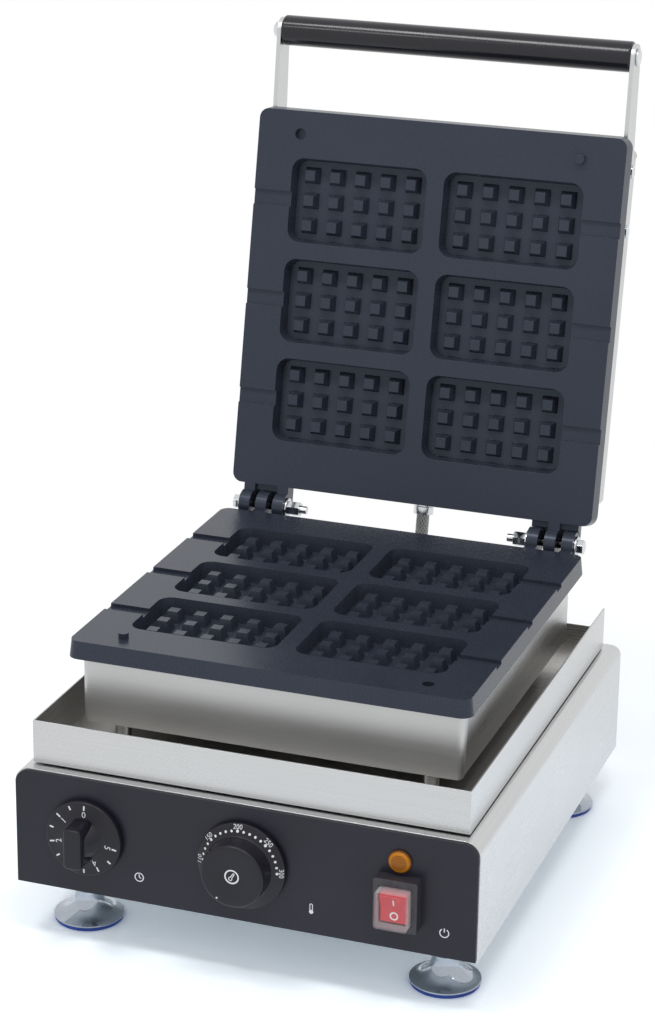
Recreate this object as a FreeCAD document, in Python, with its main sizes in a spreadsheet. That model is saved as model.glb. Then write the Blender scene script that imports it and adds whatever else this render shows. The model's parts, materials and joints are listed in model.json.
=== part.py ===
"""Hinged iron that bakes waffles on sticks: a steel base, two cast plates and a lid that swings back.

Base frame: X to the right, Y to the back, Z up from the table, all in millimetres.
Plate frame: its origin lies on the hinge axis, z = 0 is the parting plane, and a plate lies below it.
The lid uses the same plate frame, turned over about Y and swung open about the hinge axis.
"""
import FreeCAD, Part
import math
import os
import re

import Sketcher

Vector = FreeCAD.Vector

# Driving dimensions in millimetres, angles in degrees, counts as plain numbers.
SIZES = {
    # Where the model's origin lies behind the control panel's face.
    "origin_setback": 181.4,
    # How far a cutting tool reaches past what it cuts.
    "cut_margin": 2.0,
    # Base casing.
    "casing_side_margin": 8.3,
    "casing_rear_margin": 13.5,
    "casing_height": 70.8,
    "casing_bottom": 34.0,
    "casing_sheet": 1.2,
    "casing_edge_radius": 9.0,
    "bottom_sheet": 1.2,
    "bottom_flange": 12.0,
    "sheet_clearance": 0.2,
    "vent_length": 60.0,
    "vent_width": 5.0,
    "vent_pitch": 18.0,
    "vent_across": 45.0,
    "vent_rows": 6,
    # Control panel.
    "fascia_thickness": 1.5,
    "fascia_margin": 0.8,
    "front_sheet": 1.2,
    "timer_inset": 43.4,
    "thermostat_across": 1.5,
    "dial_above_middle": 0.6,
    "switch_inset": 44.0,
    "lamp_drop": 17.1,
    "lamp_above_switch": 23.0,
    # Feet.
    "foot_inset_side": 28.0,
    "foot_inset_front": 36.0,
    "foot_inset_rear": 25.0,
    "foot_flange_radius": 20.2,
    "foot_flange_thickness": 1.0,
    "foot_neck_radius": 7.8,
    "foot_neck_height": 17.5,
    "foot_collar_height": 2.0,
    "foot_stem_radius": 6.4,
    "foot_pad_thickness": 2.2,
    "foot_pad_radius": 19.6,
    "foot_screw_radius": 3.0,
    "foot_well_radius": 7.5,
    "foot_well_depth": 5.0,
    "foot_head_radius": 6.5,
    "foot_head_height": 4.0,
    # Drip tray.
    "tray_side_margin": 10.3,
    "tray_front_margin": 26.0,
    "tray_rear_margin": 18.6,
    "tray_wall_height": 25.0,
    "tray_rear_height": 12.0,
    "tray_sheet": 1.0,
    "tray_lift": 0.9,
    # Posts and tie rods that carry the lower plate.
    "post_radius": 4.5,
    "post_height": 13.1,
    "post_inset_side": 19.7,
    "post_inset": 10.0,
    "tie_radius": 3.0,
    "tie_depth_in_plate": 6.0,
    "bolt_clearance": 0.15,
    "nut_height": 5.0,
    "nut_radius": 5.77,
    "thread_reach": 2.0,
    "duct_radius": 9.0,
    "duct_wall": 1.5,
    "duct_setback": 115.8,
    "duct_lip": 4.0,
    # Cast plates, both alike.
    "plate_width": 232.8,
    "plate_length": 233.7,
    "plate_setback": 34.2,
    "plate_rim": 10.4,
    "plate_draft_angle": 6.6,
    "plate_corner_radius": 6.0,
    "plate_body_depth": 18.0,
    "plate_body_clearance": 1.2,
    "parting_gap": 0.4,
    "pocket_side_margin": 23.7,
    "pocket_front_margin": 28.69,
    "pocket_rear_margin": 29.07,
    "pocket_web_across": 10.8,
    "pocket_web_along": 10.27,
    "pocket_depth": 9.5,
    "pocket_radius": 8.0,
    "pocket_draft_angle": 9.0,
    "pocket_rows": 3,
    "pocket_columns": 2,
    "stud_top": 6.2,
    "stud_height": 6.5,
    "stud_draft_angle": 16.0,
    "stud_side_margin": 11.05,
    "stud_end_margin": 10.5,
    "stud_columns": 5,
    "stud_rows": 3,
    "channel_width": 9.4,
    "channel_depth": 2.0,
    "locator_inset_side": 27.4,
    "locator_inset": 14.2,
    "locator_radius": 2.9,
    "locator_height": 3.2,
    "locator_clearance": 0.5,
    # Hinge.
    "hinge_offset": 12.7,
    "hinge_inset": 22.9,
    "knuckle_radius": 8.5,
    "lug_thickness": 7.2,
    "tongue_thickness": 7.2,
    "clevis_gap": 15.0,
    "hinge_web_root": 6.0,
    "hinge_block_drop": 3.0,
    "hinge_block_gap": 0.6,
    "hinge_bolt_radius": 2.5,
    "hinge_clearance": 0.06,
    "hinge_bolt_tail": 13.6,
    "hinge_nut_height": 4.0,
    "hinge_nut_radius": 4.62,
    "hinge_head_height": 4.0,
    "hinge_washer_radius": 6.2,
    "hinge_washer_thickness": 1.3,
    "lid_open_angle": 101.5,
    # Heater housings, one under the lower plate and one over the upper plate.
    "housing_side_inset": 5.7,
    "housing_inset": 7.4,
    "housing_height": 40.1,
    "housing_sheet": 1.0,
    "housing_corner_radius": 3.5,
    # Heating elements and their clamp bars.
    "heater_radius": 3.25,
    "heater_runs": 4,
    "heater_side_margin": 33.5,
    "heater_margin": 26.0,
    "heater_tail_margin": 13.0,
    "heater_seat_gap": 0.1,
    "clamp_width": 14.0,
    "clamp_thickness": 3.0,
    "clamp_end_margin": 2.5,
    "clamp_inset": 70.0,
    "clamp_screw_inset": 6.0,
    "clamp_screw_radius": 2.5,
    "clamp_screw_depth": 6.0,
    "clamp_head_radius": 4.5,
    "clamp_head_height": 3.0,
    # Handle.
    "arm_thickness": 2.5,
    "arm_root_radius": 11.0,
    "arm_tip_radius": 8.0,
    "arm_screw_inset": 19.7,
    "arm_screw_spacing": 36.0,
    "arm_screw_drop": 28.0,
    "arm_screw_radius": 2.0,
    "arm_screw_head_radius": 4.0,
    "arm_screw_head_height": 2.2,
    "handle_overhang": 48.3,
    "handle_drop": 18.6,
    "grip_radius": 9.3,
    "grip_edge_radius": 1.5,
    "handle_rod_radius": 3.0,
    "cap_radius": 5.2,
    "cap_roof": 0.7,
    "cap_nut_height": 4.3,
    "cap_nut_dome": 3.0,
    "end_cap_height": 1.6,
    "end_cap_dome": 1.0,
    "arm_screw_length": 8.0,
    # Sleeved lead from the lower housing to the lid.
    "lead_radius": 4.0,
    "lead_drop": 35.0,
    "gland_flange_radius": 8.4,
    "gland_flange_thickness": 2.0,
    "gland_barrel_radius": 5.7,
    "gland_barrel_length": 11.0,
    "gland_ring_radius": 6.3,
    "gland_ring_length": 5.0,
    "gland_inside": 3.0,
    # Dials.
    "dial_gap": 0.8,
    "timer_skirt_radius": 22.4,
    "timer_skirt_height": 4.0,
    "timer_hub_radius": 12.5,
    "timer_hub_height": 14.0,
    "timer_hub_top_radius": 7.0,
    "timer_grip_height": 20.0,
    "timer_grip_width": 11.5,
    "timer_grip_length": 25.0,
    "thermostat_skirt_radius": 25.5,
    "thermostat_rim_height": 3.0,
    "thermostat_cap_radius": 18.6,
    "thermostat_cap_base": 5.5,
    "thermostat_cap_height": 18.0,
    "knob_edge_radius": 1.2,
    "shaft_radius": 3.0,
    "shaft_clearance": 0.06,
    "shaft_hole_clearance": 1.0,
    "shaft_inside": 20.0,
    "shaft_in_knob": 9.0,
    "timer_body_width": 44.0,
    "timer_body_height": 46.0,
    "timer_body_depth": 34.0,
    "thermostat_body_width": 46.0,
    "thermostat_body_height": 40.0,
    "thermostat_body_depth": 30.0,
    # Rocker switch under its splash cover.
    "bezel_width": 24.7,
    "bezel_height": 30.0,
    "bezel_proud": 8.0,
    "cover_width": 18.3,
    "cover_height": 21.5,
    "cover_proud": 16.0,
    "cover_wall": 0.7,
    "cover_drop": 2.0,
    "switch_body_width": 21.6,
    "switch_body_height": 27.0,
    "switch_body_depth": 24.0,
    "switch_well_depth": 6.0,
    "rocker_width": 15.6,
    "rocker_height": 18.4,
    "rocker_face_height": 16.4,
    "rocker_back_depth": 3.0,
    "rocker_front_depth": 7.5,
    "rocker_dip": 1.4,
    "rocker_pivot_proud": 3.0,
    "rocker_pin_radius": 1.2,
    "rocker_tilt": 10.0,
    # Indicator lamp.
    "lamp_flange_radius": 6.7,
    "lamp_flange_height": 1.6,
    "lamp_lens_radius": 5.3,
    "lamp_lens_height": 5.0,
    "lamp_barrel_radius": 4.9,
    "lamp_barrel_length": 22.0,
    "lamp_nut_radius": 7.0,
    "lamp_nut_height": 4.0,
    # Sensor, terminals and mains inlet.
    "bulb_radius": 3.0,
    "bulb_length": 70.0,
    "bulb_across": 6.2,
    "bulb_setback": 21.0,
    "capillary_radius": 0.9,
    "capillary_bend": 12.0,
    "terminal_length": 62.0,
    "terminal_width": 20.0,
    "terminal_height": 17.0,
    "terminal_inset": 75.0,
    "terminal_setback": 80.0,
    "terminal_ways": 5,
    "terminal_well_radius": 3.3,
    "terminal_well_depth": 8.5,
    "inlet_inset": 55.0,
    "inlet_rise": 26.0,
    "inlet_radius": 10.0,
    "inlet_bore_radius": 4.5,
    "inlet_length": 16.0,
    "inlet_thread_radius": 8.0,
    "inlet_inside": 9.6,
}

# Named places and sizes worked out from the driving dimensions.
DERIVED = {
    # Base frame, with y counted from the control panel's face.
    "tray_width": "plate_width + 2 * tray_side_margin",
    "tray_setback": "plate_setback - tray_front_margin",
    "tray_depth": "plate_length + tray_front_margin + tray_rear_margin",
    "tray_rear": "tray_setback + tray_depth",
    "casing_width": "tray_width + 2 * casing_side_margin",
    "casing_depth": "tray_rear + casing_rear_margin",
    "timer_across": "timer_inset - casing_width / 2",
    "switch_across": "casing_width / 2 - switch_inset",
    "inlet_across": "inlet_inset - casing_width / 2",
    "terminal_across": "casing_width / 2 - terminal_inset",
    "terminal_y": "casing_depth - terminal_setback",
    "duct_y": "plate_setback + duct_setback",
    "casing_top": "casing_bottom + casing_height",
    "shell_depth": "casing_depth - fascia_thickness",
    "inner_width": "casing_width - 2 * casing_sheet",
    "core_edge_radius": "casing_edge_radius - casing_sheet",
    "fascia_edge_radius": "casing_edge_radius - fascia_margin",
    "front_back": "fascia_thickness + front_sheet",
    "pan_width": "inner_width - 2 * sheet_clearance",
    "pan_depth": "casing_depth - casing_sheet - front_back - 2 * sheet_clearance",
    "tray_bottom": "casing_top + tray_lift",
    "tray_floor": "tray_bottom + tray_sheet",
    "housing_floor": "tray_floor + post_height",
    "parting_height": "housing_floor + housing_height + plate_rim + parting_gap / 2",
    "hinge_y": "plate_setback + plate_length + hinge_offset",
    "dial_height": "casing_bottom + casing_height / 2 + dial_above_middle",
    "inlet_height": "casing_bottom + inlet_rise",
    "lamp_height": "casing_top - lamp_drop",
    "switch_height": "lamp_height - lamp_above_switch",
    "foot_across": "casing_width / 2 - foot_inset_side",
    "foot_rear_y": "casing_depth - foot_inset_rear",
    "foot_lip_height": "foot_pad_thickness + foot_flange_thickness",
    "foot_throat_height": "casing_bottom - foot_neck_height",
    "foot_collar_top": "foot_throat_height + foot_collar_height",
    "foot_flare_drop": "foot_throat_height - foot_lip_height",
    "foot_flare_step": "foot_flange_radius - foot_neck_radius",
    "foot_flare_radius": "(foot_flare_step ^ 2 + foot_flare_drop ^ 2) / (2 * foot_flare_step)",
    "bottom_top": "casing_bottom + bottom_sheet",
    # Plate frame.
    "face_z": "-parting_gap / 2",
    "rim_z": "face_z - plate_rim",
    "body_z": "face_z - plate_body_depth",
    "housing_z": "rim_z - housing_height",
    "plate_rear": "-hinge_offset",
    "plate_front": "plate_rear - plate_length",
    "plate_side": "plate_width / 2",
    "plate_left": "-plate_width / 2",
    "hinge_across": "plate_side - hinge_inset",
    "housing_width": "plate_width - 2 * housing_side_inset",
    "post_spacing": "housing_width - 2 * post_inset_side",
    "housing_rear": "plate_rear - housing_inset",
    "housing_front": "plate_front + housing_inset",
    "housing_length": "plate_length - 2 * housing_inset",
    "housing_side": "housing_width / 2",
    "body_side": "housing_side - housing_sheet - plate_body_clearance",
    "body_left": "-body_side",
    "body_front": "housing_front + housing_sheet + plate_body_clearance",
    "body_rear": "housing_rear - housing_sheet - plate_body_clearance",
    "body_corner": "housing_corner_radius - housing_sheet",
    "pocket_room_across": "plate_width - 2 * pocket_side_margin - (pocket_columns - 1) * pocket_web_across",
    "pocket_room_along": "plate_length - pocket_front_margin - pocket_rear_margin",
    "pocket_width": "pocket_room_across / pocket_columns",
    "pocket_length": "(pocket_room_along - (pocket_rows - 1) * pocket_web_along) / pocket_rows",
    "pocket_column_pitch": "pocket_width + pocket_web_across",
    "pocket_row_pitch": "pocket_length + pocket_web_along",
    "pocket_x_low": "pocket_column_pitch / 2 - pocket_width / 2",
    "pocket_x_high": "pocket_column_pitch / 2 + pocket_width / 2",
    "pocket_left_low": "-pocket_x_high",
    "pocket_left_high": "-pocket_x_low",
    "pocket_y_centre": "plate_rear - pocket_rear_margin - pocket_length / 2",
    "pocket_y_low": "pocket_y_centre - pocket_length / 2",
    "pocket_y_high": "pocket_y_centre + pocket_length / 2",
    "pocket_floor_z": "face_z - pocket_depth",
    "stud_pitch_across": "(pocket_width - 2 * stud_side_margin) / (stud_columns - 1)",
    "stud_pitch_along": "(pocket_length - 2 * stud_end_margin) / (stud_rows - 1)",
    "stud_base": "stud_top + 2 * stud_height * tan(stud_draft_angle * 1 deg)",
    "stud_x": "-pocket_column_pitch / 2 - stud_pitch_across * (stud_columns - 1) / 2",
    "stud_y": "pocket_y_centre + stud_pitch_along * (stud_rows - 1) / 2",
    "stud_x_low": "stud_x - stud_base / 2",
    "stud_x_high": "stud_x + stud_base / 2",
    "stud_y_low": "stud_y - stud_base / 2",
    "stud_y_high": "stud_y + stud_base / 2",
    "channel_y_low": "pocket_y_centre - channel_width / 2",
    "channel_x_low": "pocket_x_high - pocket_radius / 2",
    "channel_x_high": "plate_side + cut_margin",
    "locator_across": "plate_side - locator_inset_side",
    "locator_y": "plate_front + locator_inset",
    "post_front": "housing_front + post_inset",
    "post_rear": "housing_rear - post_inset",
    "heater_run_pitch": "2 * (body_side - heater_side_margin) / (heater_runs - 1)",
    "heater_z": "body_z - heater_radius - heater_seat_gap",
    "clamp_length": "2 * (body_side - clamp_end_margin)",
    "clamp_screw_across": "clamp_length / 2 - clamp_screw_inset",
    "clamp_z": "heater_z - heater_radius - heater_seat_gap - clamp_thickness",
    "handle_y": "plate_front - handle_overhang",
    "handle_z": "-handle_drop",
    "arm_first_y": "arm_second_y + arm_screw_spacing",
    "arm_second_y": "plate_front + arm_screw_inset",
    "arm_z": "-arm_screw_drop",
    "lead_z": "-lead_drop",
    "hinge_reach": "clevis_gap / 2 + lug_thickness",
    "gland_length": "gland_flange_thickness + gland_barrel_length + gland_ring_length",
    "rocker_half": "rocker_height / 2",
    "rocker_foot": "-rocker_half",
    "rocker_face_half": "rocker_face_height / 2",
    "rocker_face_foot": "-rocker_face_half",
    "rocker_back": "-rocker_back_depth",
    "rocker_valley": "rocker_front_depth - rocker_dip",
}

# Distance below which two places count as the same.
TOUCH = 1e-6

NODES = []

doc = FreeCAD.newDocument("waffle_stick_iron")


def fill_sheet():
    """Write the driving dimensions into the sheet and bind the derived ones to it."""
    sheet = doc.addObject("Spreadsheet::Sheet", "Sizes")
    for row, (name, value) in enumerate(SIZES.items(), start=1):
        sheet.set(f"A{row}", name.replace("_", " "))
        sheet.set(f"B{row}", str(value))
        sheet.setAlias(f"B{row}", name)
    derived = doc.addObject("App::VarSet", "Derived")
    for name in DERIVED:
        derived.addProperty("App::PropertyFloat", name)
    doc.recompute()
    for name, text in DERIVED.items():
        derived.setExpression(name, refer(text))
        doc.recompute()
    return sheet, derived


def refer(text):
    """Turn a formula in plain names into one that names the sheet's cells."""

    def owner(match):
        word = match.group(0)
        if word in SIZES:
            return "Sizes." + word
        if word in DERIVED:
            return "Derived." + word
        return word

    return re.sub(r"[a-z_]+", owner, str(text))


def size(name):
    """The present value of one driving or derived dimension."""
    if name in SIZES:
        return float(SHEET.get(name))
    return float(getattr(PLACES, name))


def bind(item, **formulas):
    """Bind properties of an object to formulas; a double underscore stands for a dot."""
    for prop, text in formulas.items():
        item.setExpression(prop.replace("__", "."), refer(text))


def place(item, at):
    """Bind an object's position to three formulas."""
    bind(item, Placement__Base__x=at[0], Placement__Base__y=at[1], Placement__Base__z=at[2])


def box(name, wide, deep, tall, at):
    """A block with its low corner at a point."""
    item = doc.addObject("Part::Box", name)
    bind(item, Length=wide, Width=deep, Height=tall)
    place(item, at)
    return item


TURNS = {
    "z": FreeCAD.Rotation(Vector(0, 0, 1), 0),
    "x": FreeCAD.Rotation(Vector(0, 1, 0), 90),
    "y": FreeCAD.Rotation(Vector(1, 0, 0), -90),
    "-y": FreeCAD.Rotation(Vector(1, 0, 0), 90),
}


def rod(name, radius, length, at, axis="z"):
    """A cylinder that starts at a point and runs along an axis."""
    item = doc.addObject("Part::Cylinder", name)
    item.Placement = FreeCAD.Placement(Vector(), TURNS[axis])
    bind(item, Radius=radius, Height=length)
    place(item, at)
    return item


def cone(name, low, high, length, at, axis="z"):
    """A cone frustum that starts at a point and runs along an axis."""
    item = doc.addObject("Part::Cone", name)
    item.Placement = FreeCAD.Placement(Vector(), TURNS[axis])
    bind(item, Radius1=low, Radius2=high, Height=length)
    place(item, at)
    return item


def hexagon(name, radius, length, at, axis="z"):
    """A hexagonal prism, as a nut or a bolt head has."""
    item = doc.addObject("Part::Prism", name)
    item.Polygon = 6
    item.Placement = FreeCAD.Placement(Vector(), TURNS[axis])
    bind(item, Circumradius=radius, Height=length)
    place(item, at)
    return item


def shifted(axis, at, formula):
    """A place moved along an axis by a formula."""
    index = "xyz".index(axis)
    return tuple(f"{part} + ({formula})" if index == spot else part for spot, part in enumerate(at))


def bored(name, form, bore, length, at, axis):
    """A solid with a round hole right through it."""
    drill = rod(name + "_bore", bore, f"{length} + 2 * cut_margin", shifted(axis, at, "-cut_margin"),
                axis)
    return cut(name, form, [drill])


def pipe(name, radius, bore, length, at, axis="z"):
    """A round tube."""
    return bored(name, rod(name + "_outer", radius, length, at, axis), bore, length, at, axis)


def nut(name, radius, length, bore, at, axis="z"):
    """A hexagonal nut for a bolt of a given radius."""
    return bored(name, hexagon(name + "_form", radius, length, at, axis), f"{bore} + bolt_clearance", length,
                 at, axis)


def fuse(name, pieces):
    """Join solids into one."""
    item = doc.addObject("Part::MultiFuse", name)
    item.Shapes = pieces
    item.Refine = True
    return item


def cut(name, base, tools):
    """Take one or more solids away from another."""
    tool = tools[0] if len(tools) == 1 else fuse(name + "_tools", tools)
    item = doc.addObject("Part::Cut", name)
    item.Base = base
    item.Tool = tool
    return item


def rounded(name, base, radius, wanted):
    """Round those edges of a solid that a test picks."""
    doc.recompute()
    picks = [number for number, edge in enumerate(base.Shape.Edges, start=1) if wanted(edge)]
    item = doc.addObject("Part::Fillet", name)
    item.Base = base
    item.Edges = [(number, size(radius), size(radius)) for number in picks]
    return item


def runs_along(edge, axis):
    """Whether an edge is straight and parallel to an axis, given as 0, 1 or 2."""
    if edge.Curve.TypeId != "Part::GeomLine":
        return False
    ends = edge.Vertexes
    step = ends[1].Point - ends[0].Point
    return abs(abs(step[axis]) - step.Length) < TOUCH


def is_ring_above(edge, level):
    """Whether an edge is a circle that lies above a named height."""
    return edge.Curve.TypeId == "Part::GeomCircle" and edge.CenterOfMass.z > size(level) + TOUCH


def pillar(name, wide, deep, tall, at, radius):
    """A block with its four upright edges rounded."""
    block = box(name + "_block", wide, deep, tall, at)
    return rounded(name, block, radius, lambda edge: runs_along(edge, 2))


def finish(node, pieces, frame, copied=False):
    """Name a sub-part after its node and put it in its frame; a copied one keeps its model apart."""
    held = dict(pieces[0].ExpressionEngine)
    placed = any(path.startswith(("Placement", ".Placement")) for path in held)
    if len(pieces) == 1 and not placed and not copied:
        item = pieces[0]
    else:
        item = doc.addObject("Part::Compound", node + "_set")
        item.Links = pieces
    item.Label = node
    item.Placement = frame
    NODES.append(item)
    return item


def feature(node, shape, frame):
    """A sub-part whose shape is swept along a path."""
    item = doc.addObject("Part::Feature", node + "_sweep")
    item.Shape = shape
    item.Label = node
    item.Placement = frame
    NODES.append(item)
    return item


def sketch_on(body, name, role, offset=None):
    """A sketch on one of a body's own planes, raised by a formula."""
    plane = next(item for item in body.Origin.OriginFeatures if item.Role == role)
    sketch = body.newObject("Sketcher::SketchObject", name)
    sketch.AttachmentSupport = [(plane, "")]
    sketch.MapMode = "FlatFace"
    if offset is not None:
        sketch.setExpression("AttachmentOffset.Base.z", refer(offset))
    return sketch


def pin_value(sketch, formula, *constraint):
    """Add a sized constraint and bind it to a formula."""
    index = sketch.addConstraint(Sketcher.Constraint(*constraint))
    sketch.setExpression(f"Constraints[{index}]", refer(formula))


def rounded_rectangle(sketch, left, right, low, high, radius):
    """Draw a rectangle with round corners between four named places."""
    x0, x1, y0, y1, r = (size(name) for name in (left, right, low, high, radius))
    lines = [
        ((x0 + r, y0), (x1 - r, y0)),
        ((x1, y0 + r), (x1, y1 - r)),
        ((x1 - r, y1), (x0 + r, y1)),
        ((x0, y1 - r), (x0, y0 + r)),
    ]
    centres = [(x1 - r, y0 + r), (x1 - r, y1 - r), (x0 + r, y1 - r), (x0 + r, y0 + r)]
    for turn in range(4):
        start, end = lines[turn]
        sketch.addGeometry(Part.LineSegment(Vector(*start, 0), Vector(*end, 0)))
        circle = Part.Circle(Vector(*centres[turn], 0), Vector(0, 0, 1), r)
        first = (turn - 1) * math.pi / 2
        sketch.addGeometry(Part.ArcOfCircle(circle, first, first + math.pi / 2))
    for turn in range(4):
        line, arc, following = 2 * turn, 2 * turn + 1, (2 * turn + 2) % 8
        sketch.addConstraint(Sketcher.Constraint("Tangent", line, 2, arc, 1))
        sketch.addConstraint(Sketcher.Constraint("Tangent", arc, 2, following, 1))
        direction = "Horizontal" if turn % 2 == 0 else "Vertical"
        sketch.addConstraint(Sketcher.Constraint(direction, line))
    for arc in (3, 5, 7):
        sketch.addConstraint(Sketcher.Constraint("Equal", 1, arc))
    pin_value(sketch, radius, "Radius", 1, r)
    pin_value(sketch, low, "DistanceY", -1, 1, 0, 1, y0)
    pin_value(sketch, right, "DistanceX", -1, 1, 2, 1, x1)
    pin_value(sketch, high, "DistanceY", -1, 1, 4, 1, y1)
    pin_value(sketch, left, "DistanceX", -1, 1, 6, 1, x0)


def outline(sketch, points):
    """Draw a closed outline through points given as pairs of formulas and their present values."""
    spots = [Vector(across[1], height[1], 0) for across, height in points]
    count = len(spots)
    for index in range(count):
        sketch.addGeometry(Part.LineSegment(spots[index], spots[(index + 1) % count]))
    for index in range(count):
        following = (index + 1) % count
        sketch.addConstraint(Sketcher.Constraint("Coincident", index, 2, following, 1))
    for index, (across, height) in enumerate(points):
        pin_value(sketch, across[0], "DistanceX", -1, 1, index, 1, across[1])
        pin_value(sketch, height[0], "DistanceY", -1, 1, index, 1, height[1])


def at_name(name):
    """A named size together with its present value, for an outline."""
    return (name, size(name))


def path_through(points, radius):
    """A wire of straight runs joined by tangent arcs of one radius."""
    edges = []
    start = points[0]
    for before, corner, after in zip(points, points[1:], points[2:]):
        inward = (before - corner).normalize()
        outward = (after - corner).normalize()
        half = inward.getAngle(outward) / 2
        reach = radius / math.tan(half)
        enter = corner + inward * reach
        leave = corner + outward * reach
        bisector = (inward + outward).normalize()
        middle = corner + bisector * (radius / math.sin(half) - radius)
        edges.append(Part.LineSegment(start, enter).toShape())
        edges.append(Part.Arc(enter, middle, leave).toShape())
        start = leave
    edges.append(Part.LineSegment(start, points[-1]).toShape())
    return Part.Wire(edges)


def tube_along(path, radius):
    """A solid round tube along a wire."""
    first = path.Edges[0]
    start = first.valueAt(first.FirstParameter)
    heading = first.tangentAt(first.FirstParameter)
    ring = Part.Wire(Part.Circle(start, heading, radius).toShape())
    return path.makePipeShell([ring], True, False)


SHEET, PLACES = fill_sheet()

# Frames of the three groups of pieces.
BASE = FreeCAD.Placement(Vector(0, -size("origin_setback"), 0), FreeCAD.Rotation())
AXIS_POINT = Vector(0, size("hinge_y") - size("origin_setback"), size("parting_height"))
LOWER = FreeCAD.Placement(AXIS_POINT, FreeCAD.Rotation())
TURNED_OVER = FreeCAD.Rotation(Vector(0, 1, 0), 180)
SWUNG_OPEN = FreeCAD.Rotation(Vector(1, 0, 0), -size("lid_open_angle"))
LID = FreeCAD.Placement(AXIS_POINT, SWUNG_OPEN.multiply(TURNED_OVER))


def panel_frame(across, height):
    """A frame on the control panel's face, with z pointing out of the panel."""
    spot = Vector(size(across), -size("origin_setback"), size(height))
    return FreeCAD.Placement(spot, TURNS["-y"])


def post_spots():
    """The four tie rods' places as pairs of formulas in the plate frame."""
    return [(f"{side} * post_spacing / 2", end) for end in ("post_front", "post_rear") for side in (-1, 1)]


def foot_spots():
    """The four feet's places as pairs of formulas in the base frame."""
    return [(f"{side} * foot_across", end) for end in ("foot_inset_front", "foot_rear_y") for side in (-1, 1)]


def holes(name, spots, radius, low, length):
    """Upright cutting cylinders at several places."""
    return [rod(f"{name}_{n}", radius, length, (x, y, low)) for n, (x, y) in enumerate(spots)]


def base_spots():
    """The tie rods' places in the base frame."""
    return [(x, f"hinge_y + {y}") for x, y in post_spots()]


def build_casing():
    """Top, sides and back of the base in one folded sheet, open at the front and below."""

    def fold_edges(top, back):
        """A test for the upper long edges and the upper rear edge of a block."""

        def wanted(edge):
            middle = edge.CenterOfMass
            on_top = abs(middle.z - top) < TOUCH
            rear = runs_along(edge, 0) and abs(middle.y - back) < TOUCH
            return on_top and (runs_along(edge, 1) or rear)

        return wanted

    outer = box("shell_outer", "casing_width", "shell_depth", "casing_height",
                ("-casing_width / 2", "fascia_thickness", "casing_bottom"))
    skin = rounded("shell_skin", outer, "casing_edge_radius",
                   fold_edges(size("casing_top"), size("casing_depth")))
    inner = box("shell_inner", "inner_width", "shell_depth", "casing_height",
                ("-inner_width / 2", "fascia_thickness - casing_sheet", "casing_bottom - casing_sheet"))
    core = rounded("shell_core", inner, "core_edge_radius",
                   fold_edges(size("casing_top") - size("casing_sheet"),
                              size("casing_depth") - size("casing_sheet")))
    low = "casing_top - casing_sheet - cut_margin"
    deep = "casing_sheet + 2 * cut_margin"
    tools = [core] + holes("shell_tie", base_spots(), "tie_radius + bolt_clearance", low, deep)
    tools.append(rod("shell_duct", "duct_radius + bolt_clearance", deep, ("0", "duct_y", low)))
    tools.append(rod("shell_inlet", "inlet_thread_radius + bolt_clearance", deep,
                     ("inlet_across", "casing_depth - casing_sheet - cut_margin", "inlet_height"), "y"))
    finish("base_shell", [cut("base_shell", skin, tools)], BASE)


def build_bottom():
    """Bottom pan with turned-up side flanges, air slots and holes for the feet."""
    width = "pan_width"
    depth = "pan_depth"
    start = "front_back + sheet_clearance"
    floor = box("pan_floor", width, depth, "bottom_sheet", ("-pan_width / 2", start, "casing_bottom"))
    flanges = []
    for side, low in (("left", "-pan_width / 2"), ("right", "pan_width / 2 - bottom_sheet")):
        flanges.append(box(f"pan_{side}", "bottom_sheet", depth, "bottom_flange",
                           (low, start, "casing_bottom")))
    pan = fuse("pan", [floor] + flanges)
    under = "casing_bottom - cut_margin"
    deep = "bottom_sheet + 2 * cut_margin"
    tools = holes("pan_foot", foot_spots(), "foot_screw_radius + bolt_clearance", under, deep)
    for row in range(int(size("vent_rows"))):
        along = f"duct_y + ({row} - (vent_rows - 1) / 2) * vent_pitch - vent_width / 2"
        for side in (-1, 1):
            tools.append(box(f"vent_{row}_{side + 1}", "vent_length", "vent_width", deep,
                             (f"{side} * vent_across - vent_length / 2", along, under)))
    finish("bottom_pan", [cut("bottom_pan", pan, tools)], BASE)


def panel_tools(name):
    """Openings that the dials, the lamp and the switch need in a front sheet."""
    tools = []
    start = "-cut_margin"
    deep = "front_back + 2 * cut_margin"
    for dial in ("timer_across", "thermostat_across"):
        tools.append(rod(f"{name}_{dial}", "shaft_radius + shaft_hole_clearance", deep,
                         (dial, start, "dial_height"), "y"))
    tools.append(rod(f"{name}_lamp", "lamp_barrel_radius + bolt_clearance", deep,
                     ("switch_across", start, "lamp_height"), "y"))
    wide = "switch_body_width + 2 * bolt_clearance"
    tall = "switch_body_height + 2 * bolt_clearance"
    tools.append(box(f"{name}_switch", wide, deep, tall,
                     (f"switch_across - ({wide}) / 2", start, f"switch_height - ({tall}) / 2")))
    return tools


def build_front():
    """Dark fascia with round upper corners, and the steel sheet behind it."""
    middle = (size("casing_bottom") + size("casing_top")) / 2

    def upper_corner(edge):
        return runs_along(edge, 1) and edge.CenterOfMass.z > middle

    blank = box("fascia_blank", "casing_width - 2 * fascia_margin", "fascia_thickness",
                "casing_height - 2 * fascia_margin",
                ("fascia_margin - casing_width / 2", "0", "casing_bottom + fascia_margin"))
    skin = rounded("fascia_skin", blank, "fascia_edge_radius", upper_corner)
    finish("panel_fascia", [cut("panel_fascia", skin, panel_tools("fascia"))], BASE)
    sheet = box("front_blank", "pan_width", "front_sheet", "casing_height - casing_sheet - sheet_clearance",
                ("-pan_width / 2", "fascia_thickness", "casing_bottom"))
    plate = rounded("front_skin", sheet, "core_edge_radius", upper_corner)
    finish("front_sheet", [cut("front_sheet", plate, panel_tools("front"))], BASE)


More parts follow.
